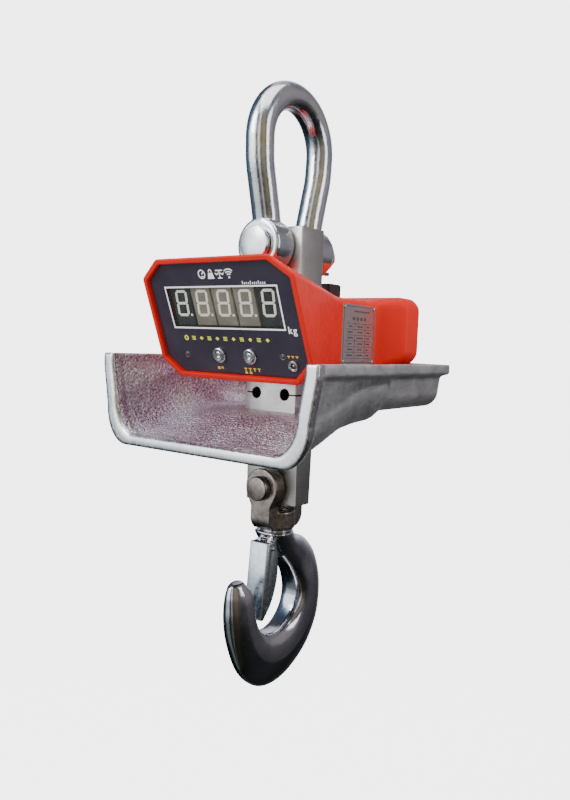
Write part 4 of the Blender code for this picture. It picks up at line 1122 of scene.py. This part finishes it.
def build_pictograms(look):
    """Plain signs where a real scale has printed words."""
    base, size, stroke = 92.2, 9.0, 1.1
    middle, half = base + size / 2, size / 2
    x = -16.0
    signs = arc_strokes(x, middle, half - 0.6, 0, 360, stroke, 20)
    signs += [bar(x, middle, x + 2.4, middle + 1.9, stroke), rectangle(x, middle - 2.2, 1.5, 0.4)]
    x = -5.0
    signs += [[(x - 4.0, base), (x + 4.0, base), (x + 2.6, base + 5.6), (x - 2.6, base + 5.6)]]
    signs += arc_strokes(x, base + 6.9, 1.6, -20, 200, stroke, 10)
    x = 6.0
    signs += [bar(x - 4.2, base + 7.6, x + 4.2, base + 7.6, stroke), rectangle(x, base + 4.4, 0.5, 3.6),
              rectangle(x, base + 0.5, 2.6, 0.5)]
    for side in (-1, 1):
        signs += arc_strokes(x + side * 3.4, base + 5.4, 1.5, 180, 360, stroke, 6)
    x = 17.0
    signs += [rectangle(x, base + 1.0, 0.9, 0.9)]
    for k in range(3):
        signs += arc_strokes(x, base + 1.0, 3.0 + 2.3 * k, 50, 130, stroke, 8)
    print_on_panel("title_signs", signs, look["white_ink"])

    ticks = []
    for k in range(12):
        tall = 3.0 if k % 4 == 0 else 1.9
        ticks.append(rectangle(31.0 + 2.3 * k, 86.4 + tall / 2, 0.45, tall / 2))
    print_on_panel("range_ticks", ticks, look["white_ink"])

    row = arc_strokes(-56.0, 33.6, 2.0, 0, 360, 1.3, 16)
    for k in range(10):
        x, h, wide = -46.0 + 10.2 * k, 33.6, 2.3
        if k % 2:
            row += [[(x - wide, h), (x, h - 1.9), (x + wide, h), (x, h + 1.9)]]
        else:
            row += [rectangle(x, h + rise, wide, 0.4) for rise in (1.45, 0, -1.45)]
    print_on_panel("maker_ticks", row, look["yellow_ink"])

    keys = [rectangle(-22.0, 3.4, 1.5, 1.3), rectangle(-17.5, 3.4, 1.5, 0.5),
            rectangle(-17.5, 4.4, 1.5, 0.25)]
    keys += [rectangle(12.0 + 5.4 * k, 4.6, 1.6, 0.45) for k in range(4)]
    keys += [rectangle(12.0 + 5.4 * k, 2.9, 0.45, 1.2) for k in range(4)]
    keys += [rectangle(12.0 + 5.4 * k, 0.2, 1.5, 1.0) for k in range(2)]
    keys += [rectangle(66.0 + 4.6 * k, 19.0, 1.5, 0.4) for k in range(3)]
    keys += [rectangle(66.0 + 4.6 * k, 17.9, 0.4, 0.7) for k in range(3)]
    print_on_panel("key_signs", keys, look["amber_ink"])

    words = bpy.data.curves.new("unit_mark", 'FONT')
    words.body = "kg"
    words.size = 9.5
    words.space_character = 1.2
    words.extrude = 0.07
    words.offset = 0.12
    text = bpy.data.objects.new("unit_text", words)
    bpy.context.scene.collection.objects.link(text)
    bpy.context.view_layer.update()
    mesh = bpy.data.meshes.new_from_object(text.evaluated_get(bpy.context.evaluated_depsgraph_get()))
    bpy.data.objects.remove(text)
    for vert in mesh.vertices:
        vert.co = panel_point(71.3 + vert.co.x, 40.6 + vert.co.y, 0.1 + vert.co.z) * MM
    mesh.materials.clear()
    mark = bpy.data.objects.new("unit_mark", mesh)
    bpy.context.scene.collection.objects.link(mark)
    finish(mark, look["white_ink"], "scale_body")


# ---------------------------------------------------------------- display

def segment(cx, ch, length, thick, upright, lean):
    """One bar of a seven-segment digit, with pointed ends."""
    half, half_t = length / 2, thick / 2
    flat = [(-half, 0), (-half + half_t, half_t), (half - half_t, half_t), (half, 0),
            (half - half_t, -half_t), (-half + half_t, -half_t)]
    outline = []
    for a, b in flat:
        x, h = (b, a) if upright else (a, b)
        outline.append((cx + x + (ch + h - WINDOW_H) * lean, ch + h))
    return outline


def build_digits(look):
    half_w, half_h = 12.3, 18.7
    wide, tall, thick = 12.4, 23.6, 2.5
    lean = 0.11
    back, front = -11.2, -2.9
    for i in range(5):
        x = (i - 2) * DIGIT_PITCH
        bm = bmesh.new()
        soft_prism(bm, rectangle(x, WINDOW_H, half_w, half_h), panel_point, back, front, 0.4)
        field = look["field_dark"] if i in (0, 4) else look["field"]
        piece(f"digit_module_{i + 1}", bm, field, "scale_body", [f"digit_{i + 1}"])
        bm = bmesh.new()
        middle = WINDOW_H + 3.6
        quarter = tall / 4
        inset = 0.25
        bars = [segment(x, middle + s * tall / 2, wide - 2 * inset, thick, False, lean) for s in (-1, 0, 1)]
        bars += [segment(x + sx * wide / 2, middle + sh * quarter, tall / 2 - 2 * inset, thick, True, lean)
                 for sx in (-1, 1) for sh in (-1, 1)]
        for outline in bars:
            prism(bm, outline, panel_point, front - 0.2, front + 0.35)
        if i < 4:
            dot = [(x + wide / 2 + 3.2 + 1.3 * math.cos(a), middle - tall / 2 + 1.3 * math.sin(a))
                   for a in (2 * math.pi * k / 16 for k in range(16))]
            prism(bm, dot, panel_point, front - 0.2, front + 0.35)
        piece(f"digit_segments_{i + 1}", bm, look["segment"], "scale_body")


def build_controls(look):
    for name, at in LEDS.items():
        dome = [(0.2 + 1.3 * math.sin(a), LED_R * math.cos(a))
                for a in (math.pi / 2 * k / 8 for k in range(8))]
        bm = bmesh.new()
        turned(bm, [(-6, 0), (-6, LED_R)] + dome + [(1.5, 0)], panel_point(*at, 0), PANEL_NORMAL, 32)
        piece(f"{name}_dome", bm, look["led"], "scale_body", [name])
        rim = rounded([(0.05, LED_R + GAP), (0.05, LED_R + 1.1), (0.6, LED_R + 1.0), (0.6, LED_R + GAP)],
                      0.15, 2)
        bm = bmesh.new()
        turned(bm, rim, panel_point(*at, 0), PANEL_NORMAL, 32, ring=True)
        piece(f"{name}_rim", bm, look["machined"], "scale_body")
    bm = bmesh.new()
    turned(bm, [(-10, 0), (-10, 4.2), (GAP, 4.2), (GAP, 5.0), (0.5, 5.2), (1.5, 5.2), (2.0, 4.9), (2.2, 4.4),
                (2.1, 3.3), (1.8, 2.95), (-7, 2.9), (-7, 0.9), (1.0, 0.9), (1.25, 0.6), (1.3, 0)],
           panel_point(*SOCKET_AT, 0), PANEL_NORMAL, 48)
    piece("charge_jack", bm, look["machined"], "scale_body", ["charge_socket"])
    bm = bmesh.new()
    liner = rounded([(-6.8, 1.0), (-6.8, 2.8), (0.9, 2.8), (0.9, 1.0)], 0.2, 2)
    turned(bm, liner, panel_point(*SOCKET_AT, 0), PANEL_NORMAL, 40, ring=True)
    piece("charge_jack_liner", bm, look["dark"], "scale_body")
    for side, x in BUTTONS.items():
        at = panel_point(x, BUTTON_H, 0)
        bm = bmesh.new()
        turned(bm, rounded([(-8, CAP_R + GAP), (-8, BUTTON_R), (GAP, BUTTON_R), (GAP, 7.7), (1.7, 7.7),
                            (2.6, 6.9), (2.6, CAP_R + GAP)], 0.3, 2), at, PANEL_NORMAL, 64, ring=True)
        piece(f"button_ring_{side}", bm, look["machined"], "scale_body",
              [f"button_bezel_{side}"])
        bm = bmesh.new()
        turned(bm, [(-10.0, 0), (-10.0, 1.6), (-6.5, 1.6), (-6.5, CAP_R), (2.0, CAP_R), (2.6, CAP_R - 0.3),
                    (3.0, CAP_R - 0.9), (3.0, 2.1), (2.75, 1.6), (2.2, 1.2), (1.9, 0.6), (1.8, 0)],
               at, PANEL_NORMAL, 56)
        piece(f"button_top_{side}", bm, look["machined"], f"button_{side}",
              [f"button_cap_{side}"])


# ---------------------------------------------------------------- fittings

def build_fittings(look):
    low, high = box_mm("nameplate")
    face, top = low.x, high.x
    outline = rounded([(low.y, low.z), (high.y, low.z), (high.y, high.z), (low.y, high.z)], 2.0)

    bm = bmesh.new()
    soft_prism(bm, outline, upright_x, face, top - 0.2, 0.25)
    piece("nameplate_sheet", bm, look["plate"], "scale_body", ["nameplate"])
    bm = bmesh.new()
    y0, y1, z0, z1 = low.y + 2.2, high.y - 2.2, low.z + 2.2, high.z - 2.2
    wide, tall = (y1 - y0) / 2, (z1 - z0) / 2
    mid_y, mid_z = (y0 + y1) / 2, (z0 + z1) / 2
    line = 0.3
    marks = [rectangle(mid_y, z0, wide, line), rectangle(mid_y, z1, wide, line),
             rectangle(y0, mid_z, line, tall), rectangle(y1, mid_z, line, tall)]
    rows = 6
    step = (tall * 2 * 0.62) / rows
    for k in range(rows + 1):
        marks.append(rectangle(mid_y, z0 + 4.5 + step * k, wide - 5, 0.22))
    marks.append(rectangle(mid_y - 8, z0 + 4.5 + step * rows / 2, 0.22, step * rows / 2))
    marks.append(rectangle(mid_y + 12, z0 + 4.5 + step * rows / 2, 0.22, step * rows / 2))
    for k in range(rows):
        z = z0 + 4.5 + step * (k + 0.5)
        marks.append(rectangle(mid_y - 17, z, 5.5 - (k % 3), 0.8))
        marks.append(rectangle(mid_y + 2, z, 6.5 - (k * 2 % 3), 0.7))
        marks.append(rectangle(mid_y + 18, z, 3.6 - (k % 2), 0.7))
    for k in range(4):
        marks.append(rectangle(mid_y - 11 + 7.4 * k, z1 - 12.5, 2.3, 1.7))
    marks.append(rectangle(mid_y + 4, z1 - 5.0, 15, 0.8))
    for outline in marks:
        prism(bm, outline, upright_x, top - 0.25, top - 0.08)
    marks_piece = to_object("nameplate_grid", bm)
    finish(marks_piece, look["etch"], "scale_body")
    for i in range(1, 5):
        low, high = box_mm(f"rivet_{i}")
        centre = Vector((low.x, (low.y + high.y) / 2, (low.z + high.z) / 2))
        tall, radius = high.x - low.x, (high.y - low.y) / 2
        bm = bmesh.new()
        turned(bm, [(0, 0)] + [(tall * math.sin(a), radius * math.cos(a))
                               for a in (math.pi / 2 * k / 8 for k in range(8))] + [(tall, 0)],
               centre, (1, 0, 0), 32)
        piece(f"rivet_head_{i}", bm, look["machined"], "scale_body", [f"rivet_{i}"])

    low, high = box_mm("antenna_cap")
    bm = bmesh.new()
    box(bm, low, high, 2.2, 4)
    piece("antenna_cover", bm, look["black"], "scale_body", ["antenna_cap"])

    low, high = box_mm("battery_cover")
    outline = rounded([(low.x, low.z), (high.x, low.z), (high.x, high.z), (low.x, high.z)], 5.0, 6)
    bm = bmesh.new()
    soft_prism(bm, outline, upright_y, low.y, high.y, 0.8)
    cover = to_object("battery_door", bm)
    groove = 1.0
    for k in range(5):
        rib = bmesh.new()
        z = (low.z + high.z) / 2 - 12 + 6 * k
        box(rib, (-26, high.y - 0.7, z - groove), (26, high.y + 3, z + groove), 0.0)
        carve(cover, rib)
    for i in range(1, 5):
        s_low, s_high = box_mm(f"cover_screw_{i}")
        x, z = (s_low.x + s_high.x) / 2, (s_low.z + s_high.z) / 2
        carve(cover, cylinder((x, REAR_Y, z), (0, 1, 0), -2, 6, 1.9, 24))
        head_h = s_high.y - high.y - GAP
        socket_screw(f"door_screw_{i}", (x, high.y + GAP, z), (0, 1, 0), 3.2, head_h, 1.5, 2.6,
                     look["machined"], "scale_body", f"cover_screw_{i}")
    soften_edges(cover, 0.3)
    finish(cover, look["red"], "scale_body", ["battery_cover"], 32, weighted=True)


# ---------------------------------------------------------------- tray

def floor_height(y):
    """Underside of the tray: it falls towards the lip in front."""
    points = [(-126.0, -338.0), (-84.0, -325.0), (-46.0, -311.5), (-14.0, -307.0), (12.0, -305.5)]
    if y >= TRAY_STEP_Y - 10:
        return -305.5 + 9.5 * smoothstep(TRAY_STEP_Y - 10, TRAY_STEP_Y + 6, y)
    y = max(y, points[0][0])
    for (y0, z0), (y1, z1) in zip(points, points[1:]):
        if y <= y1:
            return z0 + (z1 - z0) * (y - y0) / (y1 - y0)
    return points[-1][1]


def tray_section(y, inside):
    """Half outline of the tray at y, from the top edge down to the middle of the floor."""
    front, rear = TRAY_Y
    flange = TRAY_HALF_W[0] + (TRAY_HALF_W[1] - TRAY_HALF_W[0]) * (y - front) / (rear - front)
    step = smoothstep(TRAY_STEP_Y - 8, TRAY_STEP_Y + 6, y)
    lip = 1 - smoothstep(front + 9, front + 16, y)
    wall = flange - 4.5 - 6.0 * step
    corner_x = 27.0 - 9.0 * step
    corner_z = 38.0 - 20.0 * step
    lean = 5.5 - 3.5 * step
    low = floor_height(y)
    end = rear - (TRAY_WALL if inside else 0.0)
    past = max(0.0, (y - (end - TRAY_CORNER)) / TRAY_CORNER)
    turn = TRAY_CORNER * (1 - math.sqrt(max(0.0, 1 - past * past)))
    ahead = min(max((front + LIP_ROUND - y) / LIP_ROUND, 0.0), 1.0)
    ease = LIP_ROUND * (1 - math.sqrt(1 - ahead * ahead))
    if inside:
        thick = TRAY_WALL + 3.5 * lip - ease
        base = low + thick
        side = wall - thick - turn
        top = TRAY_TOP + 20
        points = [(side + 0.2, top), (side, TRAY_TOP - TRAY_FLANGE_H)]
        corner_x -= 1.5
        start_x = side - lean
    else:
        base = low - 1.5 * lip + ease
        side = wall - turn - ease
        flange_x = flange - turn - ease
        points = [(flange_x, TRAY_TOP), (flange_x, TRAY_TOP - TRAY_FLANGE_H),
                  (side + 4.3 * lip, TRAY_TOP - TRAY_FLANGE_H - 3)]
        start_x = side - lean + 3.5 * lip
    steps = 16
    for i in range(steps + 1):
        angle = math.pi / 2 * i / steps
        points.append((start_x - corner_x * (1 - math.cos(angle)), base + corner_z * (1 - math.sin(angle))))
    return points


def tray_ring(y, inside):
    return [Vector((x, y, z)) for x, z in mirrored(tray_section(y, inside))]


def build_tray(look):
    front, rear = TRAY_Y
    stations = [front + back for back in (0, 0.15, 0.5, 1.2, 2.6, 5, 9, 11, 13, 16)]
    stations += [front + 16 + (TRAY_STEP_Y - 26 - front) * k / 12 for k in range(1, 13)]
    stations += [TRAY_STEP_Y - 10 + 2.0 * k for k in range(1, 9)] + [40, 60, 80, 100, 120]
    rounding = [TRAY_CORNER * (1 - math.sin(math.pi / 2 * i / 8)) for i in range(8)]
    outer = stations + [rear - back for back in rounding] + [rear - 0.05]
    inner = [front - 8] + stations + [rear - TRAY_WALL - back for back in rounding]
    inner.append(rear - TRAY_WALL - 0.05)
    bm = bmesh.new()
    loft(bm, [tray_ring(y, False) for y in outer])
    tray = to_object("tray_casting", bm)
    hollow = bmesh.new()
    loft(hollow, [tray_ring(y, True) for y in inner])
    carve(tray, hollow)
    for _, x, y, top, floor in posts():
        carve(tray, cylinder((x, y, floor), (0, 0, 1), 2.0, top - GAP - floor, 6.5, 32), 'UNION')
    melt(tray, 1.5, 3)
    carve(tray, cell_passage(-330, -270))
    for number, x, y, top, floor in posts():
        carve(tray, cylinder((x, y, floor), (0, 0, 1), -5, 60, SCREW_HOLE_R, 24))
        socket_screw(f"shield_screw_{number}", (x, y, floor - GAP), (0, 0, -1), 5.0, 3.0, 2.0,
                     top - floor + 2.5, look["machined"], "scale_body", f"tray_screw_{number}")
    mesh = tray.data
    mesh.materials.clear()
    for name in ("cast_outside", "cast_inside", "cast_lip"):
        mesh.materials.append(look[name])
    lip_end = (front + 10.5) * MM
    for polygon in mesh.polygons:
        centre, normal = polygon.center, polygon.normal
        inwards = normal.x * centre.x < 0 or (normal.z > 0.25 and centre.z < (TRAY_TOP - 6) * MM)
        facing = normal.y < -0.3 and centre.y > 0.1
        if centre.y < lip_end and not (inwards and centre.y > (front + 4.5) * MM):
            polygon.material_index = 2
        elif inwards or facing:
            polygon.material_index = 1
    finish(tray, None, "scale_body", ["tray"], 60)


# ---------------------------------------------------------------- yoke

def build_yoke(look):
    inner, outer = YOKE_EAR_Y
    low, high = BARREL_Z
    bend = 13.0
    side_view = [(-outer, -350.0)]
    for centre, start in ((bend - outer, 180), (outer - bend, 270)):
        for i in range(9):
            angle = math.radians(start + 90 * i / 8)
            side_view.append((centre + bend * math.cos(angle), low + 0.5 + bend + bend * math.sin(angle)))
    side_view += [(outer, -350.0), (inner, -350.0), (inner, high - 0.6), (-inner, high - 0.6),
                  (-inner, -350.0)]
    bm = bmesh.new()
    prism(bm, side_view, upright_x, -30, 30)
    yoke = to_object("yoke_forging", bm)
    front_view = []
    steps = 40
    for i in range(steps + 1):
        angle = math.radians(-30 + 240 * i / steps)
        front_view.append((YOKE_EAR_R * math.cos(angle), YOKE_PIN_Z + YOKE_EAR_R * math.sin(angle)))
    front_view += [(-YOKE_NECK_HALF_W, YOKE_PIN_Z - 19), (-YOKE_NECK_HALF_W, low - 5),
                   (YOKE_NECK_HALF_W, low - 5), (YOKE_NECK_HALF_W, YOKE_PIN_Z - 19)]
    bm = bmesh.new()
    prism(bm, front_view, upright_y, -40, 40)
    carve(yoke, bm, 'INTERSECT')
    bm = bmesh.new()
    turned(bm, [(low, 0), (low, BARREL_R - 2), (low + 2, BARREL_R), (high - 1, BARREL_R),
                (high, BARREL_R - 1), (high, 0)], (0, 0, 0), (0, 0, 1), 64)
    carve(yoke, bm, 'UNION')
    melt(yoke, 0.8, 5)
    carve(yoke, cylinder((0, 0, YOKE_PIN_Z), (0, 1, 0), -40, 40, YOKE_PIN_R + GAP, 48))
    carve(yoke, drill((0, 0, 0), (0, 0, 1), low, high + 5, STEM_R + 0.4, 0.8))
    carve(yoke, cylinder((0, 0, 0), (0, 0, 1), COUNTERBORE_Z, high + 5, 15.4, 48))
    finish(yoke, look["brown"], "yoke", ["yoke"], 50)

    head = 7.5
    face = outer + GAP
    end = outer + 17.0
    cotter_y = end - 4.0
    bm = bmesh.new()
    turned(bm, [(-face - head, 0), (-face - head, 10.6), (-face - head + 0.3, 11.6),
                (-face - head + 1.2, 12.3),
                (-face - head + 2.0, 12.5), (-face - 0.4, 12.5), (-face, 12.1), (-face, YOKE_PIN_R),
                (end - 1.2, YOKE_PIN_R), (end - 0.4, YOKE_PIN_R - 0.5), (end, YOKE_PIN_R - 1.4), (end, 0)],
           (0, 0, YOKE_PIN_Z), (0, 1, 0), 64)
    pin = to_object("yoke_bolt", bm)
    cotter_r = 1.5
    carve(pin, cylinder((0, cotter_y, YOKE_PIN_Z), (0, 0, 1), -15, 15, cotter_r + GAP, 20))
    finish(pin, look["brown"], "yoke", ["yoke_pin"])
    hex_nut("yoke_bolt_nut", (0, face, YOKE_PIN_Z), (0, 1, 0), 27.0, YOKE_PIN_R + GAP, 9.0,
            look["brown"], "yoke", "yoke_nut")
    split_pin("yoke_split_pin", (0, cotter_y, YOKE_PIN_Z), YOKE_PIN_R + 2.5, cotter_r, look["milled"], "yoke",
              "yoke_cotter")
    ring_piece("thrust_ring", (0, 0, low - GAP), (0, 0, -1), STEM_R + GAP, 17.0, 1.5,
               look["machined"], "hook", ["thrust_washer"], 0.35)
    cross = cylinder((0, 0, COUNTERBORE_Z + 4.6), (1, 0, 0), -20, 20, 1.5 + GAP, 20)
    hex_nut("hook_stem_nut", (0, 0, COUNTERBORE_Z + GAP), (0, 0, 1), 25.4, STEM_R + GAP, 8.2, look["brown"],
            "hook", "hook_nut", cross)


# ---------------------------------------------------------------- hook and latch

# Stations along the hook: inner point (y, z), outer point (y, z), half width.
# At the outer bend, three half widths are about 1 mm over the CAD hook's.
HOOK_STATIONS = [
    ((-20.0, HOOK_NECK_TOP), (20.0, HOOK_NECK_TOP), 20.0),
    ((-18.5, -431.0), (21.0, -431.0), 19.5),
    ((-12.5, -440.0), (29.0, -436.0), 18.5),
    ((-3.0, -452.0), (45.0, -442.0), 17.5),
    ((16.0, -470.0), (63.0, -459.0), 17.0),
    ((27.0, -487.0), (72.5, -483.0), 18.6),
    ((30.0, -504.0), (75.0, -508.0), 18.8),
    ((23.5, -519.0), (71.0, -538.0), 18.3),
    ((9.5, -530.0), (52.0, -568.0), 17.5),
    ((-6.0, -533.5), (16.0, -589.0), 17.0),
    ((-21.0, -530.5), (-20.0, -590.0), 16.5),
    ((-33.0, -521.5), (-49.5, -570.0), 16.0),
    ((-40.0, -508.0), (-67.0, -537.0), 15.5),
    ((-42.0, -494.0), (-74.0, -509.0), 14.5),
    ((-45.5, -481.0), (-74.5, -487.5), 12.0),
    ((-53.0, -472.0), (-72.0, -474.0), 8.0),
]


def hook_ring(inner, outer, half_w, count=56):
    """A section with a broad, nearly flat inner face that narrows to a rounder outer side."""
    middle = (inner + outer) / 2
    reach = (outer - inner) / 2
    ring = []
    for i in range(count):
        angle = 2 * math.pi * i / count
        power = 0.85 if math.cos(angle) > 0 else 0.62
        out = math.copysign(abs(math.cos(angle)) ** power, math.cos(angle))
        across = math.copysign(abs(math.sin(angle)) ** power, math.sin(angle))
        across *= 1 - 0.3 * max(out, 0.0)
        ring.append(middle + reach * out + Vector((half_w * across, 0, 0)))
    return ring


def build_hook(look):
    steps = 8
    inner = smooth_path([(0, *station[0]) for station in HOOK_STATIONS], steps)
    outer = smooth_path([(0, *station[1]) for station in HOOK_STATIONS], steps)
    width = smooth_path([(0, 0, station[2]) for station in HOOK_STATIONS], steps)
    rings = [hook_ring(i, o, w.z) for i, o, w in zip(inner, outer, width)]
    tip_in, tip_out = inner[-1], outer[-1]
    rise = Vector((0, 1.0, 3.0))
    rings.append(hook_ring(tip_in.lerp(tip_out, 0.14) + rise, tip_out.lerp(tip_in, 0.14) + rise, 5.4))
    neck = [Vector((STEM_R * math.sin(2 * math.pi * i / 48), STEM_R * math.cos(2 * math.pi * i / 48), 0))
            for i in range(48)]
    stem = [[point + Vector((0, 0, HOOK_NECK_TOP - 3.0)) for point in neck],
            [point + Vector((0, 0, COUNTERBORE_Z + 8.0)) for point in neck],
            [point * 0.9 + Vector((0, 0, COUNTERBORE_Z + 9.0)) for point in neck]]
    bm = bmesh.new()
    loft(bm, rings)
    hook = to_object("hook_forging", bm)
    pin_y, pin_z = LATCH_PIN
    lug_half = LATCH_HALF_W - LATCH_SHEET - 0.8
    outline = [(-6.0, -434.0), (pin_y - 1.0, -434.0)]
    for i in range(13):
        angle = math.radians(90 + 180 * i / 12)
        outline.append((pin_y + 5.2 * math.cos(angle), pin_z + 5.2 * math.sin(angle)))
    outline += [(-2.0, -455.0), (6.0, -450.0)]
    lug = bmesh.new()
    prism(lug, outline, upright_x, -lug_half, lug_half)
    carve(hook, lug, 'UNION')
    melt(hook, 1.0, 6)
    slot = bmesh.new()
    box(slot, (-4.5, pin_y - 9, pin_z - 9), (4.5, pin_y + 5.2, pin_z + 9))
    carve(hook, slot)
    carve(hook, drill((0, pin_y, pin_z), (1, 0, 0), -lug_half, lug_half, LATCH_PIN_R + GAP, 0.4, 32))
    shank = bmesh.new()
    loft(shank, stem)
    carve(hook, shank, 'UNION')
    carve(hook, cylinder((0, 0, COUNTERBORE_Z + 4.6), (1, 0, 0), -20, 20, 1.5 + GAP, 20))
    finish(hook, look["hook"], "hook", ["hook"], 50)

    bm = bmesh.new()
    reach = LATCH_HALF_W + 2
    turned(bm, eased([(-reach, 0), (-reach, LATCH_PIN_R), (reach, LATCH_PIN_R), (reach, 0)], 0.5, 3),
           (0, pin_y, pin_z), (1, 0, 0), 32)
    piece("latch_axle", bm, look["machined"], "hook", ["latch_pin"])


def build_latch(look):
    """A folded channel: its web faces the hook's opening and its side walls point back."""
    pin_y, pin_z = LATCH_PIN
    (top_y, top_z), (low_y, low_z) = LATCH_WEB
    back = smooth_path([(0, -14.5, top_z), (0, -12.0, -447.0), (0, -10.0, -464.0), (0, -12.5, -482.0),
                        (0, -20.0, -500.0), (0, -31.5, low_z)], 8)
    side_view = [(low_y, low_z), (top_y, top_z)] + [(point.y, point.z) for point in back]
    bm = bmesh.new()
    prism(bm, side_view, upright_x, -LATCH_HALF_W, LATCH_HALF_W)
    web = [edge for edge in bm.edges
           if all(abs(v.co.y - (low_y + (v.co.z - low_z) / (top_z - low_z) * (top_y - low_y))) < 0.01
                  for v in edge.verts) and abs(edge.verts[0].co.z - edge.verts[1].co.z) > 20]
    bmesh.ops.bevel(bm, geom=web, offset=2.4, segments=5, profile=0.5, affect='EDGES')
    latch = to_object("latch_sheet", bm)
    lean = (top_y - low_y) / (top_z - low_z)
    above, below = top_z + 10, low_z - 10
    inside = LATCH_HALF_W - LATCH_SHEET
    bm = bmesh.new()
    prism(bm, [(top_y + LATCH_SHEET + 10 * lean, above), (0, above), (0, below),
               (low_y + LATCH_SHEET - 10 * lean, below)], upright_x, -inside, inside)
    carve(latch, bm)
    carve(latch, cylinder((0, pin_y, pin_z), (1, 0, 0), -20, 20, LATCH_PIN_R + GAP, 32))
    soften_edges(latch, 0.35, 50)
    finish(latch, look["latch"], "latch", ["latch"])

    coil_r, wire_r, turns = 3.4, 0.55, 4
    path = [(-3.2, pin_y - 5.6, pin_z - 20), (-3.2, pin_y - coil_r - 0.3, pin_z - 8)]
    count = turns * 24
    for i in range(count + 1):
        angle = math.radians(180) + 2 * math.pi * turns * i / count
        path.append((-3.2 + 6.4 * i / count, pin_y + coil_r * math.cos(angle),
                     pin_z - coil_r * math.sin(angle)))
    path += [(3.2, pin_y - coil_r - 0.3, pin_z - 6)]
    bm = bmesh.new()
    tube(bm, path, wire_r, 10)
    piece("latch_torsion_spring", bm, look["machined"], "hook", ["latch_spring"])


# ---------------------------------------------------------------- CAD nodes that stay

def dress(nodes, material):
    for name in nodes:
        mesh = frame["nodes"][name].data
        mesh.materials.clear()
        mesh.materials.append(material)


def build():
    look = {
        "zinc": zinc_bright(), "machined": zinc_machined(), "brown": forged_brown(),
        "milled": brushed("milled_steel", (0.66, 0.64, 0.62), 0), "hook": hook_polish(),
        "latch": latch_plate(),
        "cast_inside": cast_inside(), "cast_outside": cast_outside(), "cast_lip": cast_lip(),
        "red": red_paint(), "film": panel_film(), "black": black_plastic(), "acrylic": window_acrylic(),
        "field": digit_field("field_beige", (0.40, 0.365, 0.295), (0.30, 0.275, 0.22)),
        "field_dark": digit_field("field_teal", (0.040, 0.065, 0.075), (0.02, 0.03, 0.035)),
        "segment": segment_white(), "white_ink": ink("white_ink", (0.97, 0.97, 0.98)),
        "yellow_ink": ink("yellow_ink", (0.80, 0.80, 0.06)),
        "amber_ink": ink("amber_ink", (0.85, 0.48, 0.03)),
        "circuit": circuit_green(), "plate": plate_silver(), "etch": ink("etched_dark", (0.06, 0.06, 0.065)),
        "rubber": cable_rubber(), "led": led_dome(), "dark": hole_shade_and_jack_liner(),
    }
    make_camera()
    make_world()
    make_floor()
    area_light("key", (-0.55, -1.25, 0.75), (0, 0, -0.25), (0.7, 0.9), 14.0)
    area_light("top", (0.15, -0.15, 0.85), (0, 0, -0.2), (0.9, 0.9), 7.0)
    area_light("side", (1.35, 0.25, 0.2), (0, 0, -0.3), (0.5, 1.1), 5.0)
    build_shackle(look)
    build_load_cell(look)
    build_casing(look)
    build_panel(look)
    build_digits(look)
    build_controls(look)
    build_fittings(look)
    build_tray(look)
    build_yoke(look)
    build_hook(look)
    build_latch(look)
    dress(["gauge_cover", "casing_bracket_left", "casing_bracket_right", "hook_nut_pin"], look["milled"])
    dress(["bracket_screw_left", "bracket_screw_right"], look["machined"])
    dress(["panel_gasket", "battery_pack"], look["black"])
    dress(["display_board", "main_board"], look["circuit"])
    dress(["cell_cable"], look["rubber"])


build()
